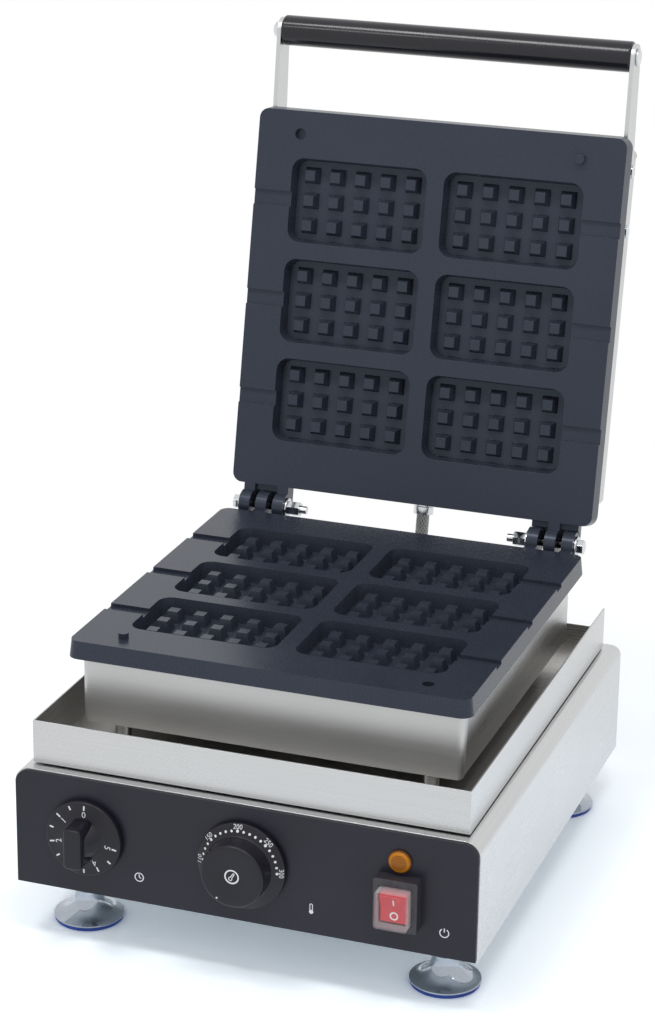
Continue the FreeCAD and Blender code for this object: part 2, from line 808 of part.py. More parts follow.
def build_feet():
    """Flared feet with pads, screws and lock nuts, four of each."""
    feet = []
    pads = []
    screws = []
    nuts = []
    model = foot_model()
    seat = "foot_pad_thickness + foot_well_depth"
    for number, (x, y) in enumerate(foot_spots()):
        foot = doc.addObject("Part::Compound", f"foot_{number}")
        foot.Links = [model]
        place(foot, (x, y, "0"))
        feet.append(foot)
        pads.append(rod(f"foot_pad_{number}", "foot_pad_radius", "foot_pad_thickness", (x, y, "0")))
        head = rod(f"foot_head_{number}", "foot_head_radius", "foot_head_height",
                   (x, y, f"{seat} - foot_head_height"))
        shank = rod(f"foot_shank_{number}", "foot_screw_radius",
                    f"bottom_top + nut_height + thread_reach - ({seat})", (x, y, seat))
        screws.append(fuse(f"foot_screw_{number}", [head, shank]))
        nuts.append(nut(f"foot_nut_{number}", "nut_radius", "nut_height", "foot_screw_radius",
                        (x, y, "bottom_top")))
    finish("feet", feet, BASE)
    finish("foot_pads", pads, BASE)
    finish("foot_screws", screws, BASE)
    finish("foot_nuts", nuts, BASE)


def foot_model():
    """One foot turned about Z: a flange, a hollow flare up to the collar, a stem, a bore and a well."""
    body = doc.addObject("PartDesign::Body", "foot_model")
    sketch = sketch_on(body, "foot_profile", "XZ_Plane")
    axis = ("0", 0.0)
    flange, neck = at_name("foot_flange_radius"), at_name("foot_neck_radius")
    stem, under = at_name("foot_stem_radius"), at_name("foot_pad_thickness")
    lip, throat = at_name("foot_lip_height"), at_name("foot_throat_height")
    collar, top = at_name("foot_collar_top"), at_name("casing_bottom")
    spots = [(axis, under), (flange, under), (flange, lip), (neck, throat), (neck, collar), (stem, collar),
             (stem, top), (axis, top)]
    points = [Vector(across[1], height[1], 0) for across, height in spots]
    radius = size("foot_flare_radius")
    centre = points[3] + Vector(radius, 0, 0)
    reach = points[2] - centre
    flare = Part.ArcOfCircle(Part.Circle(centre, Vector(0, 0, 1), radius), math.pi,
                             2 * math.pi + math.atan2(reach.y, reach.x))
    count = len(points)
    for index in range(count):
        line = Part.LineSegment(points[index], points[(index + 1) % count])
        sketch.addGeometry(flare if index == 2 else line)
    # The flare runs from the neck down to the flange, so its ends are met the other way round.
    starts = [1, 1, 2, 1, 1, 1, 1, 1]
    for index in range(count):
        following = (index + 1) % count
        kind = "Tangent" if index == 2 else "Coincident"
        end = 3 - starts[index]
        sketch.addConstraint(Sketcher.Constraint(kind, index, end, following, starts[following]))
    for index, (across, height) in enumerate(spots):
        pin_value(sketch, across[0], "DistanceX", -1, 1, index, starts[index], across[1])
        pin_value(sketch, height[0], "DistanceY", -1, 1, index, starts[index], height[1])
    turned = body.newObject("PartDesign::Revolution", "foot_bell")
    turned.Profile = sketch
    turned.ReferenceAxis = (sketch, ["V_Axis"])
    turned.Angle = 360
    bore = body.newObject("PartDesign::SubtractiveCylinder", "foot_bore")
    bind(bore, Radius="foot_screw_radius + bolt_clearance", Height="casing_bottom + 2 * cut_margin")
    place(bore, ("0", "0", "-cut_margin"))
    well = body.newObject("PartDesign::SubtractiveCylinder", "foot_well")
    bind(well, Radius="foot_well_radius", Height="foot_well_depth + cut_margin")
    place(well, ("0", "0", "foot_pad_thickness - cut_margin"))
    doc.recompute()
    return body


def build_tray():
    """Open drip tray with a low back wall, lifted off the casing by spacers."""
    low = "-tray_width / 2"
    corner = (low, "tray_setback", "tray_bottom")
    sheets = [
        box("tray_floor_sheet", "tray_width", "tray_depth", "tray_sheet", corner),
        box("tray_front", "tray_width", "tray_sheet", "tray_wall_height", corner),
        box("tray_left", "tray_sheet", "tray_depth", "tray_wall_height", corner),
        box("tray_right", "tray_sheet", "tray_depth", "tray_wall_height",
            ("tray_width / 2 - tray_sheet", "tray_setback", "tray_bottom")),
        box("tray_back", "tray_width", "tray_sheet", "tray_rear_height",
            (low, "tray_rear - tray_sheet", "tray_bottom")),
    ]
    under = "tray_bottom - cut_margin"
    deep = "tray_sheet + 2 * cut_margin"
    tools = holes("tray_tie", base_spots(), "tie_radius + bolt_clearance", under, deep)
    tools.append(rod("tray_duct", "duct_radius + bolt_clearance", deep, ("0", "duct_y", under)))
    finish("drip_tray", [cut("drip_tray", fuse("tray_form", sheets), tools)], BASE)
    for node, low_z, length in (("tray_spacers", "casing_top", "tray_lift"),
                                ("housing_posts", "tray_floor", "post_height")):
        pieces = []
        for number, (x, y) in enumerate(base_spots()):
            pieces.append(pipe(f"{node}_{number}", "post_radius", "tie_radius + bolt_clearance", length,
                               (x, y, low_z)))
        finish(node, pieces, BASE)
    start = "casing_top - casing_sheet - duct_lip"
    finish("wire_duct", [pipe("duct", "duct_radius", "duct_radius - duct_wall",
                              f"housing_floor + housing_sheet + duct_lip - ({start})",
                              ("0", "duct_y", start))], BASE)


def build_ties():
    """Tie rods through posts, tray and casing below, and through the cover above, with their nuts."""
    lower_seat = "casing_top - casing_sheet - nut_height - parting_height"
    groups = (("tie_rods", "tie_nuts", LOWER, lower_seat),
              ("cover_rods", "cover_nuts", LID, "housing_z - nut_height"))
    for rod_node, nut_node, frame, seat in groups:
        rods = []
        nuts = []
        for number, (x, y) in enumerate(post_spots()):
            low = f"{seat} - thread_reach"
            rods.append(rod(f"{rod_node}_{number}", "tie_radius", f"body_z + tie_depth_in_plate - ({low})",
                            (x, y, low)))
            nuts.append(nut(f"{nut_node}_{number}", "nut_radius", "nut_height", "tie_radius", (x, y, seat)))
        finish(rod_node, rods, frame)
        finish(nut_node, nuts, frame)


def build_castings():
    """One casting, with rim, body, knuckles, pockets and studs, used below and turned over above."""
    body = doc.addObject("PartDesign::Body", "plate_casting")
    rim_sketch = sketch_on(body, "rim_outline", "XY_Plane", "face_z")
    rounded_rectangle(rim_sketch, "plate_left", "plate_side", "plate_front", "plate_rear",
                      "plate_corner_radius")
    rim = body.newObject("PartDesign::Pad", "rim")
    rim.Profile = rim_sketch
    rim.Reversed = True
    bind(rim, Length="plate_rim", TaperAngle="plate_draft_angle")
    core_sketch = sketch_on(body, "core_outline", "XY_Plane", "rim_z")
    rounded_rectangle(core_sketch, "body_left", "body_side", "body_front", "body_rear", "body_corner")
    core = body.newObject("PartDesign::Pad", "core")
    core.Profile = core_sketch
    core.Reversed = True
    bind(core, Length="plate_body_depth - plate_rim")
    add_knuckles(body)
    add_locators(body)
    add_sockets(body)
    add_pockets(body)
    add_studs(body)
    doc.recompute()
    finish("lower_plate", [body], LOWER, copied=True)
    finish("upper_plate", [body], LID, copied=True)


def grid(pattern, body, across, across_count, along, along_count):
    """Set a pattern to repeat in columns to the right and in rows to the front."""
    axes = {item.Role: item for item in body.Origin.OriginFeatures}
    pattern.Direction = (axes["X_Axis"], [""])
    pattern.Direction2 = (axes["Y_Axis"], [""])
    pattern.Reversed2 = True
    bind(pattern, Length=across, Occurrences=across_count, Length2=along, Occurrences2=along_count)
    return pattern


ROWS_LENGTH = "pocket_row_pitch * (pocket_rows - 1)"


def add_pockets(body):
    """Two columns of waffle pockets, and the shallow stick channels from them to the plate's sides."""
    sketch = sketch_on(body, "pocket_outline", "XY_Plane", "face_z")
    rounded_rectangle(sketch, "pocket_left_low", "pocket_left_high", "pocket_y_low", "pocket_y_high",
                      "pocket_radius")
    pocket = body.newObject("PartDesign::Pocket", "pocket")
    pocket.Profile = sketch
    bind(pocket, Length="pocket_depth", TaperAngle="-pocket_draft_angle")
    pockets = body.newObject("PartDesign::LinearPattern", "pockets")
    pockets.Originals = [pocket]
    grid(pockets, body, "pocket_column_pitch", "pocket_columns", ROWS_LENGTH, "pocket_rows")
    body.Tip = pockets
    for side, low in (("right", "channel_x_low"), ("left", "-channel_x_high")):
        groove = body.newObject("PartDesign::SubtractiveBox", f"channel_{side}")
        bind(groove, Length="channel_x_high - channel_x_low", Width="channel_width",
             Height="channel_depth + cut_margin")
        place(groove, (low, "channel_y_low", "face_z - channel_depth"))
        grooves = body.newObject("PartDesign::LinearPattern", f"channels_{side}")
        grooves.Originals = [groove]
        grid(grooves, body, "channel_width", "1", ROWS_LENGTH, "pocket_rows")
        body.Tip = grooves


def add_studs(body):
    """Tapered square studs on every pocket's floor, in rows and columns."""
    sketch = sketch_on(body, "stud_outline", "XY_Plane", "pocket_floor_z")
    left, right = at_name("stud_x_low"), at_name("stud_x_high")
    low, high = at_name("stud_y_low"), at_name("stud_y_high")
    outline(sketch, [(left, low), (right, low), (right, high), (left, high)])
    stud = body.newObject("PartDesign::Pad", "stud")
    stud.Profile = sketch
    bind(stud, Length="stud_height", TaperAngle="-stud_draft_angle")
    studs = body.newObject("PartDesign::MultiTransform", "studs")
    studs.Originals = [stud]
    in_pocket = doc.addObject("PartDesign::LinearPattern", "studs_in_pocket")
    grid(in_pocket, body, "stud_pitch_across * (stud_columns - 1)", "stud_columns",
         "stud_pitch_along * (stud_rows - 1)", "stud_rows")
    in_plate = doc.addObject("PartDesign::LinearPattern", "studs_in_plate")
    grid(in_plate, body, "pocket_column_pitch", "pocket_columns", ROWS_LENGTH, "pocket_rows")
    studs.Transformations = [in_pocket, in_plate]
    body.Tip = studs


def add_knuckles(body):
    """Clevis of two lugs at the right and a tongue at the left, on webs, with a block behind each that clears
    the other plate's knuckles."""
    sides = ("hinge_across", "-hinge_across")
    for number, centre in enumerate(sides):
        block = body.newObject("PartDesign::AdditiveBox", f"hinge_block_{number}")
        bind(block, Length="2 * hinge_reach", Width="hinge_offset + hinge_web_root",
             Height="-hinge_block_drop - rim_z")
        place(block, (f"{centre} - hinge_reach", "-hinge_offset - hinge_web_root", "rim_z"))
        bore_hinge(body, f"hinge_hollow_{number}", centre, "knuckle_radius + hinge_block_gap")
    lugs = [("hinge_across - clevis_gap / 2 - lug_thickness", "lug_thickness"),
            ("hinge_across + clevis_gap / 2", "lug_thickness"),
            ("-hinge_across - tongue_thickness / 2", "tongue_thickness")]
    for number, (low, thick) in enumerate(lugs):
        knuckle = body.newObject("PartDesign::AdditiveCylinder", f"knuckle_{number}")
        knuckle.Placement = FreeCAD.Placement(Vector(), TURNS["x"])
        bind(knuckle, Radius="knuckle_radius", Height=thick)
        place(knuckle, (low, "0", "0"))
        web = body.newObject("PartDesign::AdditiveBox", f"web_{number}")
        bind(web, Length=thick, Width="hinge_offset + hinge_web_root", Height="knuckle_radius + face_z")
        place(web, (low, "-hinge_offset - hinge_web_root", "-knuckle_radius"))
    for number, centre in enumerate(sides):
        bore_hinge(body, f"eye_{number}", centre, "hinge_bolt_radius + hinge_clearance")


def bore_hinge(body, name, centre, radius):
    """Cut a round hole along the hinge axis through all that stands at one hinge."""
    hole = body.newObject("PartDesign::SubtractiveCylinder", name)
    hole.Placement = FreeCAD.Placement(Vector(), TURNS["x"])
    bind(hole, Radius=radius, Height="2 * hinge_reach + 2 * cut_margin")
    place(hole, (f"{centre} - hinge_reach - cut_margin", "0", "0"))


def add_locators(body):
    """Locating pin at the left of the front edge, and its hole at the right."""
    pin = body.newObject("PartDesign::AdditiveCylinder", "locating_pin")
    bind(pin, Radius="locator_radius", Height="2 * locator_height")
    place(pin, ("-locator_across", "locator_y", "face_z - locator_height"))
    hole = body.newObject("PartDesign::SubtractiveCylinder", "locating_hole")
    bind(hole, Radius="locator_radius + locator_clearance",
         Height="locator_height + locator_clearance + cut_margin")
    place(hole, ("locator_across", "locator_y", "face_z - locator_height - locator_clearance"))


def add_sockets(body):
    """Blind holes in the back for the tie rods and for the screws of the clamp bars."""
    kinds = (("tie", post_spots(), "tie_radius", "tie_depth_in_plate"),
             ("clamp", clamp_screw_spots(), "clamp_screw_radius", "clamp_screw_depth"))
    for kind, spots, radius, deep in kinds:
        for number, (x, y) in enumerate(spots):
            socket = body.newObject("PartDesign::SubtractiveCylinder", f"{kind}_socket_{number}")
            bind(socket, Radius=f"{radius} + bolt_clearance", Height=f"{deep} + bolt_clearance + cut_margin")
            place(socket, (x, y, "body_z - cut_margin"))


def clamp_bar_lines():
    """Middle lines along the plate of the two clamp bars."""
    return ("body_front + clamp_inset", "body_rear - clamp_inset")


def clamp_screw_spots():
    """Places of the screws that draw the clamp bars against the heater."""
    return [(f"{side} * clamp_screw_across", y) for y in clamp_bar_lines() for side in (-1, 0, 1)]


def build_heater(which, frame):
    """Tubular heater in three bends under a plate, with clamp bars and their screws."""
    feature(f"{which}_heater", tube_along(heater_path(), size("heater_radius")), frame)
    bars = []
    screws = []
    for number, y in enumerate(clamp_bar_lines()):
        bar = box(f"{which}_bar_form_{number}", "clamp_length", "clamp_width", "clamp_thickness",
                  ("-clamp_length / 2", f"{y} - clamp_width / 2", "clamp_z"))
        spots = [spot for spot in clamp_screw_spots() if spot[1] == y]
        bores = holes(f"{which}_bar_bore_{number}", spots, "clamp_screw_radius + bolt_clearance",
                      "clamp_z - cut_margin", "clamp_thickness + 2 * cut_margin")
        bars.append(cut(f"{which}_bar_{number}", bar, bores))
    for number, (x, y) in enumerate(clamp_screw_spots()):
        head = rod(f"{which}_clamp_head_{number}", "clamp_head_radius", "clamp_head_height",
                   (x, y, "clamp_z - clamp_head_height"))
        shank = rod(f"{which}_clamp_shank_{number}", "clamp_screw_radius",
                    "body_z + clamp_screw_depth - clamp_z", (x, y, "clamp_z"))
        screws.append(fuse(f"{which}_clamp_screw_{number}", [head, shank]))
    finish(f"{which}_clamp_bars", bars, frame)
    finish(f"{which}_clamp_screws", screws, frame)


def heater_path():
    """An even number of straight runs along the plate joined by half circles, with both ends at the back."""
    pitch = size("heater_run_pitch")
    bend = pitch / 2
    height = size("heater_z")
    front = size("body_front") + size("heater_margin") + bend
    rear = size("body_rear") - size("heater_margin") - bend
    tail = size("body_rear") - size("heater_tail_margin")
    last = int(size("heater_runs")) - 1
    edges = []
    for run in range(last + 1):
        x = (run - last / 2) * pitch
        ends = [Vector(x, tail if run in (0, last) else rear, height), Vector(x, front, height)]
        forward = run % 2 == 0
        if not forward:
            ends.reverse()
        edges.append(Part.LineSegment(*ends).toShape())
        if run < last:
            crown = ends[1] + Vector(bend, -bend if forward else bend, 0)
            edges.append(Part.Arc(ends[1], crown, ends[1] + Vector(pitch, 0, 0)).toShape())
    return Part.Wire(edges)


def build_housing(node, frame, duct):
    """Steel box round a heater, open towards the plate, with holes for its rods and glands."""
    outer = pillar(node + "_outer", "housing_width", "housing_length", "housing_height",
                   ("-housing_side", "housing_front", "housing_z"), "housing_corner_radius")
    corner = ("housing_sheet - housing_side", "housing_front + housing_sheet", "housing_z + housing_sheet")
    inner = pillar(node + "_inner", "housing_width - 2 * housing_sheet", "housing_length - 2 * housing_sheet",
                   "housing_height", corner, "body_corner")
    under = "housing_z - cut_margin"
    deep = "housing_sheet + 2 * cut_margin"
    tools = [inner] + holes(node + "_tie", post_spots(), "tie_radius + bolt_clearance", under, deep)
    tools.append(rod(node + "_gland_hole", "gland_barrel_radius + bolt_clearance", deep,
                     ("0", "housing_rear - housing_sheet - cut_margin", "lead_z"), "y"))
    if duct:
        tools.append(rod(node + "_duct", "duct_radius + bolt_clearance", deep,
                         ("0", "duct_y - hinge_y", under)))
    else:
        for number, (y, side) in enumerate(arm_screw_spots()):
            start = f"{side} * (housing_side - housing_sheet / 2) - ({deep}) / 2"
            tools.append(rod(f"{node}_arm_{number}", "arm_screw_radius + bolt_clearance", deep,
                             (start, y, "arm_z"), "x"))
    finish(node, [cut(node, outer, tools)], frame)


def arm_screw_spots():
    """Places along the plate of the screws that hold the handle's arms, and their sides."""
    return [(y, side) for side in (-1, 1) for y in ("arm_first_y", "arm_second_y")]


def build_gland(node, frame):
    """Gland on a housing's rear wall: threaded root, flange, barrel and clamping ring round the lead."""
    ring_start = "housing_rear + gland_length - gland_ring_length"
    pieces = [
        rod(node + "_barrel", "gland_barrel_radius", "gland_length + gland_inside",
            ("0", "housing_rear - gland_inside", "lead_z"), "y"),
        rod(node + "_flange", "gland_flange_radius", "gland_flange_thickness",
            ("0", "housing_rear", "lead_z"), "y"),
        rod(node + "_ring", "gland_ring_radius", "gland_ring_length", ("0", ring_start, "lead_z"), "y"),
    ]
    bore = rod(node + "_bore", "lead_radius + bolt_clearance", "gland_length + gland_inside + 2 * cut_margin",
               ("0", "housing_rear - gland_inside - cut_margin", "lead_z"), "y")
    finish(node, [cut(node, fuse(node + "_form", pieces), [bore])], frame)


def build_lead():
    """Sleeved lead that leaves the lower gland to the back and rises into the lid's gland."""
    root = Vector(0, size("housing_rear") - size("gland_inside"), size("lead_z"))
    tip = Vector(0, size("housing_rear") + size("gland_length"), size("lead_z"))
    ends = [LOWER.multVec(root), LOWER.multVec(tip), LID.multVec(tip), LID.multVec(root)]
    out = (ends[1] - ends[0]).normalize()
    down = (ends[2] - ends[3]).normalize()
    # The two straight ends, lengthened, meet in a corner that one tangent arc rounds off.
    gap = ends[2] - ends[1]
    turn = out.y * down.z - out.z * down.y
    corner = ends[1] + out * ((gap.y * down.z - gap.z * down.y) / turn)
    near = min((corner - ends[1]).Length, (corner - ends[2]).Length)
    half = (ends[0] - corner).getAngle(ends[3] - corner) / 2
    radius = near * math.tan(half)
    path = path_through([ends[0], corner, ends[3]], radius)
    tube = tube_along(path, size("lead_radius"))
    print(f"lead: bend radius {radius:.1f}, length {path.Length:.1f}, volume {tube.Volume:.0f}"
          f" for {path.Length * math.pi * size('lead_radius') ** 2:.0f}")
    feature("lid_lead", tube, FreeCAD.Placement())


def build_hinge_bolts():
    """Two hinge bolts with their heads outside, washers at both ends and two nuts inside."""
    bolts = []
    nuts = []
    washers = []

    def span(sign, low, length):
        """Low end of a stretch that lies at the right, or mirrored to the left."""
        return low if sign == 1 else f"-({low}) - ({length})"

    inner = "hinge_across - hinge_reach"
    outer = "hinge_across + hinge_reach"
    bore = "hinge_bolt_radius"
    for side, sign in (("left", -1), ("right", 1)):
        length = "2 * hinge_reach + hinge_bolt_tail + hinge_washer_thickness"
        shank = rod(f"hinge_shank_{side}", bore, length,
                    (span(sign, f"{inner} - hinge_bolt_tail", length), "0", "0"), "x")
        head = hexagon(f"hinge_head_{side}", "hinge_nut_radius", "hinge_head_height",
                       (span(sign, f"{outer} + hinge_washer_thickness", "hinge_head_height"), "0", "0"), "x")
        bolts.append(fuse(f"hinge_bolt_{side}", [shank, head]))
        for place_name, low in (("outer", outer), ("inner", f"{inner} - hinge_washer_thickness")):
            at = (span(sign, low, "hinge_washer_thickness"), "0", "0")
            washers.append(pipe(f"hinge_washer_{side}_{place_name}", "hinge_washer_radius",
                                f"{bore} + bolt_clearance", "hinge_washer_thickness", at, "x"))
        for number in (1, 2):
            low = f"{inner} - hinge_washer_thickness - {number} * hinge_nut_height"
            nuts.append(nut(f"hinge_nut_{side}_{number}", "hinge_nut_radius", "hinge_nut_height", bore,
                            (span(sign, low, "hinge_nut_height"), "0", "0"), "x"))
    finish("hinge_bolts", bolts, LOWER)
    finish("hinge_nuts", nuts, LOWER)
    finish("hinge_washers", washers, LOWER)


def arm_shape(low_x):
    """A flat bar that tapers from the cover's side to the handle, with round ends."""
    root = Vector(low_x, size("arm_first_y"), size("arm_z"))
    tip = Vector(low_x, size("handle_y"), size("handle_z"))
    root_radius = size("arm_root_radius")
    tip_radius = size("arm_tip_radius")
    span = tip - root
    along = Vector(span).normalize()
    across = Vector(1, 0, 0).cross(along)
    lean = math.asin((root_radius - tip_radius) / span.Length)
    normals = [along * math.sin(lean) + across * (sign * math.cos(lean)) for sign in (1, -1)]
    rim = [root + normals[0] * root_radius, tip + normals[0] * tip_radius,
           tip + normals[1] * tip_radius, root + normals[1] * root_radius]
    edges = [
        Part.LineSegment(rim[0], rim[1]).toShape(),
        Part.Arc(rim[1], tip + along * tip_radius, rim[2]).toShape(),
        Part.LineSegment(rim[2], rim[3]).toShape(),
        Part.Arc(rim[3], root - along * root_radius, rim[0]).toShape(),
    ]
    return Part.Face(Part.Wire(edges)).extrude(Vector(size("arm_thickness"), 0, 0))


def build_handle():
    """Two arms on the cover's sides, and the screws that hold them."""
    inner = size("housing_side")
    outer = inner + size("arm_thickness")
    for name, side, low in (("left", -1, -outer), ("right", 1, inner)):
        blank = doc.addObject("Part::Feature", f"arm_{name}_blank")
        blank.Shape = arm_shape(low)
        deep = "arm_thickness + 2 * cut_margin"
        start = f"{side} * (housing_side + arm_thickness / 2) - ({deep}) / 2"
        bores = [rod(f"arm_{name}_bore_{n}", "arm_screw_radius + bolt_clearance", deep,
                     (start, y, "arm_z"), "x")
                 for n, y in enumerate(("arm_first_y", "arm_second_y"))]
        bores.append(rod(f"arm_{name}_rod_bore", "handle_rod_radius + bolt_clearance", deep,
                         (start, "handle_y", "handle_z"), "x"))
        finish(f"handle_arm_{name}", [cut(f"handle_arm_{name}", blank, bores)], LID)
    screws = []
    for number, (y, side) in enumerate(arm_screw_spots()):
        face = "housing_side + arm_thickness"
        shank_low = f"{face} - arm_screw_length" if side == 1 else f"-({face})"
        head_low = face if side == 1 else f"-({face}) - arm_screw_head_height"
        shank = rod(f"arm_shank_{number}", "arm_screw_radius", "arm_screw_length",
                    (shank_low, y, "arm_z"), "x")
        head = rod(f"arm_head_{number}", "arm_screw_head_radius", "arm_screw_head_height",
                   (head_low, y, "arm_z"), "x")
        screws.append(fuse(f"arm_screw_{number}", [shank, head]))
    finish("arm_screws", screws, LID)

def build_grip():
    """Round grip on a through rod, with a low cap at the left arm and a domed nut at the right one."""
    face = "housing_side + arm_thickness"
    left_tail, right_tail = "end_cap_height - cap_roof", "cap_nut_height - cap_roof"
    length = f"2 * ({face}) + {left_tail} + {right_tail}"
    finish("handle_rod", [rod("handle_rod_bar", "handle_rod_radius", length,
                              (f"-({face}) - ({left_tail})", "handle_y", "handle_z"), "x")], LID)
    start = ("-housing_side", "handle_y", "handle_z")
    tube = rod("grip_tube", "grip_radius", "2 * housing_side", start, "x")
    soft = rounded("grip_soft", tube, "grip_edge_radius",
                   lambda edge: edge.Curve.TypeId == "Part::GeomCircle")
    grip = bored("handle_grip", soft, "handle_rod_radius + bolt_clearance", "2 * housing_side", start, "x")
    finish("handle_grip", [grip], LID)
    caps = [end_cap("left", -1, "end_cap_height", "end_cap_dome"),
            end_cap("right", 1, "cap_nut_height", "cap_nut_dome")]
    finish("handle_cap_nuts", caps, LID)


def end_cap(name, side, height, dome):
    """Round cap on one end of the handle's rod, domed on its outer side."""
    face = "housing_side + arm_thickness"
    low = face if side == 1 else f"-({face}) - {height}"
    blank = rod(f"cap_blank_{name}", "cap_radius", height, (low, "handle_y", "handle_z"), "x")
    middle = size("housing_side") + size("arm_thickness") + size(height) / 2
    domed = rounded(f"cap_domed_{name}", blank, dome, lambda edge: abs(edge.CenterOfMass.x) > middle + TOUCH)
    deep = f"{height} - cap_roof + bolt_clearance"
    bore_low = f"{face} - cut_margin" if side == 1 else f"-({face}) - ({deep})"
    bore = rod(f"cap_bore_{name}", "handle_rod_radius + bolt_clearance", f"{deep} + cut_margin",
               (bore_low, "handle_y", "handle_z"), "x")
    return cut(f"cap_{name}", domed, [bore])


def build_timer():
    """Timer: clockwork box behind the panel, shaft, and a dial with a bar grip."""
    frame = panel_frame("timer_across", "dial_height")
    case = box("timer_case", "timer_body_width", "timer_body_height", "timer_body_depth",
               ("-timer_body_width / 2", "-timer_body_height / 2", "-front_back - timer_body_depth"))
    finish("timer_body", [cut("timer_body", case, [shaft_bore("timer_bore")])], frame)
    finish("timer_shaft", [shaft("timer_shaft_bar")], frame)
    skirt = rod("timer_skirt", "timer_skirt_radius", "timer_skirt_height", ("0", "0", "dial_gap"))
    brim = rounded("timer_brim", skirt, "knob_edge_radius", lambda edge: is_ring_above(edge, "dial_gap"))
    hub = cone("timer_hub", "timer_hub_radius", "timer_hub_top_radius", "timer_hub_height",
               ("0", "0", "dial_gap"))
    bar = pillar("timer_bar", "timer_grip_width", "timer_grip_length", "timer_grip_height - dial_gap",
                 ("-timer_grip_width / 2", "-timer_grip_length / 2", "dial_gap"), "knob_edge_radius")
    form = fuse("timer_knob_form", [brim, hub, bar])
    finish("timer_knob", [cut("timer_knob", form, [shaft_socket("timer_socket")])], frame)


def shaft(name):
    """A control shaft from inside its mechanism into its knob."""
    return rod(name, "shaft_radius", "shaft_inside + front_back + dial_gap + shaft_in_knob - shaft_clearance",
               ("0", "0", "-front_back - shaft_inside + shaft_clearance"))


def shaft_bore(name):
    """The blind bore of a mechanism, in which its shaft turns."""
    return rod(name, "shaft_radius + shaft_clearance", "shaft_inside + cut_margin",
               ("0", "0", "-front_back - shaft_inside"))


def shaft_socket(name):
    """The blind bore of a knob, in which its shaft sits."""
    return rod(name, "shaft_radius + shaft_clearance", "dial_gap + shaft_in_knob + shaft_clearance",
               ("0", "0", "0"))


def build_thermostat():
    """Thermostat: body behind the panel, shaft, round knob on a dished skirt, capillary and bulb."""
    frame = panel_frame("thermostat_across", "dial_height")
    case = box("thermostat_case", "thermostat_body_width", "thermostat_body_height", "thermostat_body_depth",
               ("-thermostat_body_width / 2", "-thermostat_body_height / 2",
                "-front_back - thermostat_body_depth"))
    finish("thermostat_body", [cut("thermostat_body", case, [shaft_bore("thermostat_bore")])], frame)
    finish("thermostat_shaft", [shaft("thermostat_shaft_bar")], frame)
    brim = rod("thermostat_brim", "thermostat_skirt_radius", "thermostat_rim_height", ("0", "0", "dial_gap"))
    dish = cone("thermostat_dish", "thermostat_skirt_radius", "thermostat_cap_radius",
                "thermostat_cap_base - thermostat_rim_height", ("0", "0", "dial_gap + thermostat_rim_height"))
    cap = rod("thermostat_cap", "thermostat_cap_radius", "thermostat_cap_height - dial_gap",
              ("0", "0", "dial_gap"))
    soft = rounded("thermostat_cap_soft", cap, "knob_edge_radius",
                   lambda edge: is_ring_above(edge, "dial_gap"))
    form = fuse("thermostat_knob_form", [brim, dish, soft])
    finish("thermostat_knob", [cut("thermostat_knob", form, [shaft_socket("thermostat_socket")])], frame)
    build_sensor()


def build_sensor():
    """Sensing bulb under the lower plate and the capillary tube that joins it to the thermostat."""
    across = size("bulb_across")
    low = size("dial_height") - size("parting_height")
    high = size("heater_z")
    rise = size("duct_y") - size("hinge_y")
    corners = [
        Vector(across, size("front_back") + size("thermostat_body_depth") - size("hinge_y"), low),
        Vector(across, rise, low),
        Vector(across, rise, high),
        Vector(across, rise - size("bulb_setback"), high),
    ]
    line = path_through(corners, size("capillary_bend"))
    feature("thermostat_capillary", tube_along(line, size("capillary_radius")), LOWER)
    start = "duct_y - hinge_y - bulb_setback - bulb_length"
    bulb = rod("bulb_rod", "bulb_radius", "bulb_length", ("bulb_across", start, "heater_z"), "y")
    finish("thermostat_bulb", [bulb], LOWER)


def build_switch():
    """Rocker switch: bezel and body in one, the rocker on its pin, and the clear splash cover."""
    frame = panel_frame("switch_across", "switch_height")
    bezel = pillar("bezel", "bezel_width", "bezel_height", "bezel_proud",
                   ("-bezel_width / 2", "-bezel_height / 2", "0"), "knob_edge_radius")
    body = box("switch_case", "switch_body_width", "switch_body_height", "switch_body_depth",
               ("-switch_body_width / 2", "-switch_body_height / 2", "-switch_body_depth"))
    form = fuse("switch_form", [bezel, body])
    wide = "cover_width + 2 * sheet_clearance"
    tall = "cover_height + 2 * sheet_clearance"
    well = box("switch_well", wide, tall, "bezel_proud + switch_well_depth",
               (f"-({wide}) / 2", f"-({tall}) / 2", "-switch_well_depth"))
    housing = cut("switch_shell", form, [well])
    pin = rod("rocker_pin", "rocker_pin_radius", wide, (f"-({wide}) / 2", "0", "rocker_pivot_proud"), "x")
    finish("switch_body", [fuse("switch_body", [housing, pin])], frame)
    build_rocker(frame)
    rim = "bezel_proud - cover_drop"
    outer = pillar("cover_outer", "cover_width", "cover_height", f"cover_proud - ({rim})",
                   ("-cover_width / 2", "-cover_height / 2", rim), "knob_edge_radius")
    inner = box("cover_inner", "cover_width - 2 * cover_wall", "cover_height - 2 * cover_wall",
                f"cover_proud - ({rim})",
                ("cover_wall - cover_width / 2", "cover_wall - cover_height / 2", f"{rim} - cover_wall"))
    finish("switch_cover", [cut("switch_cover", outer, [inner])], frame)


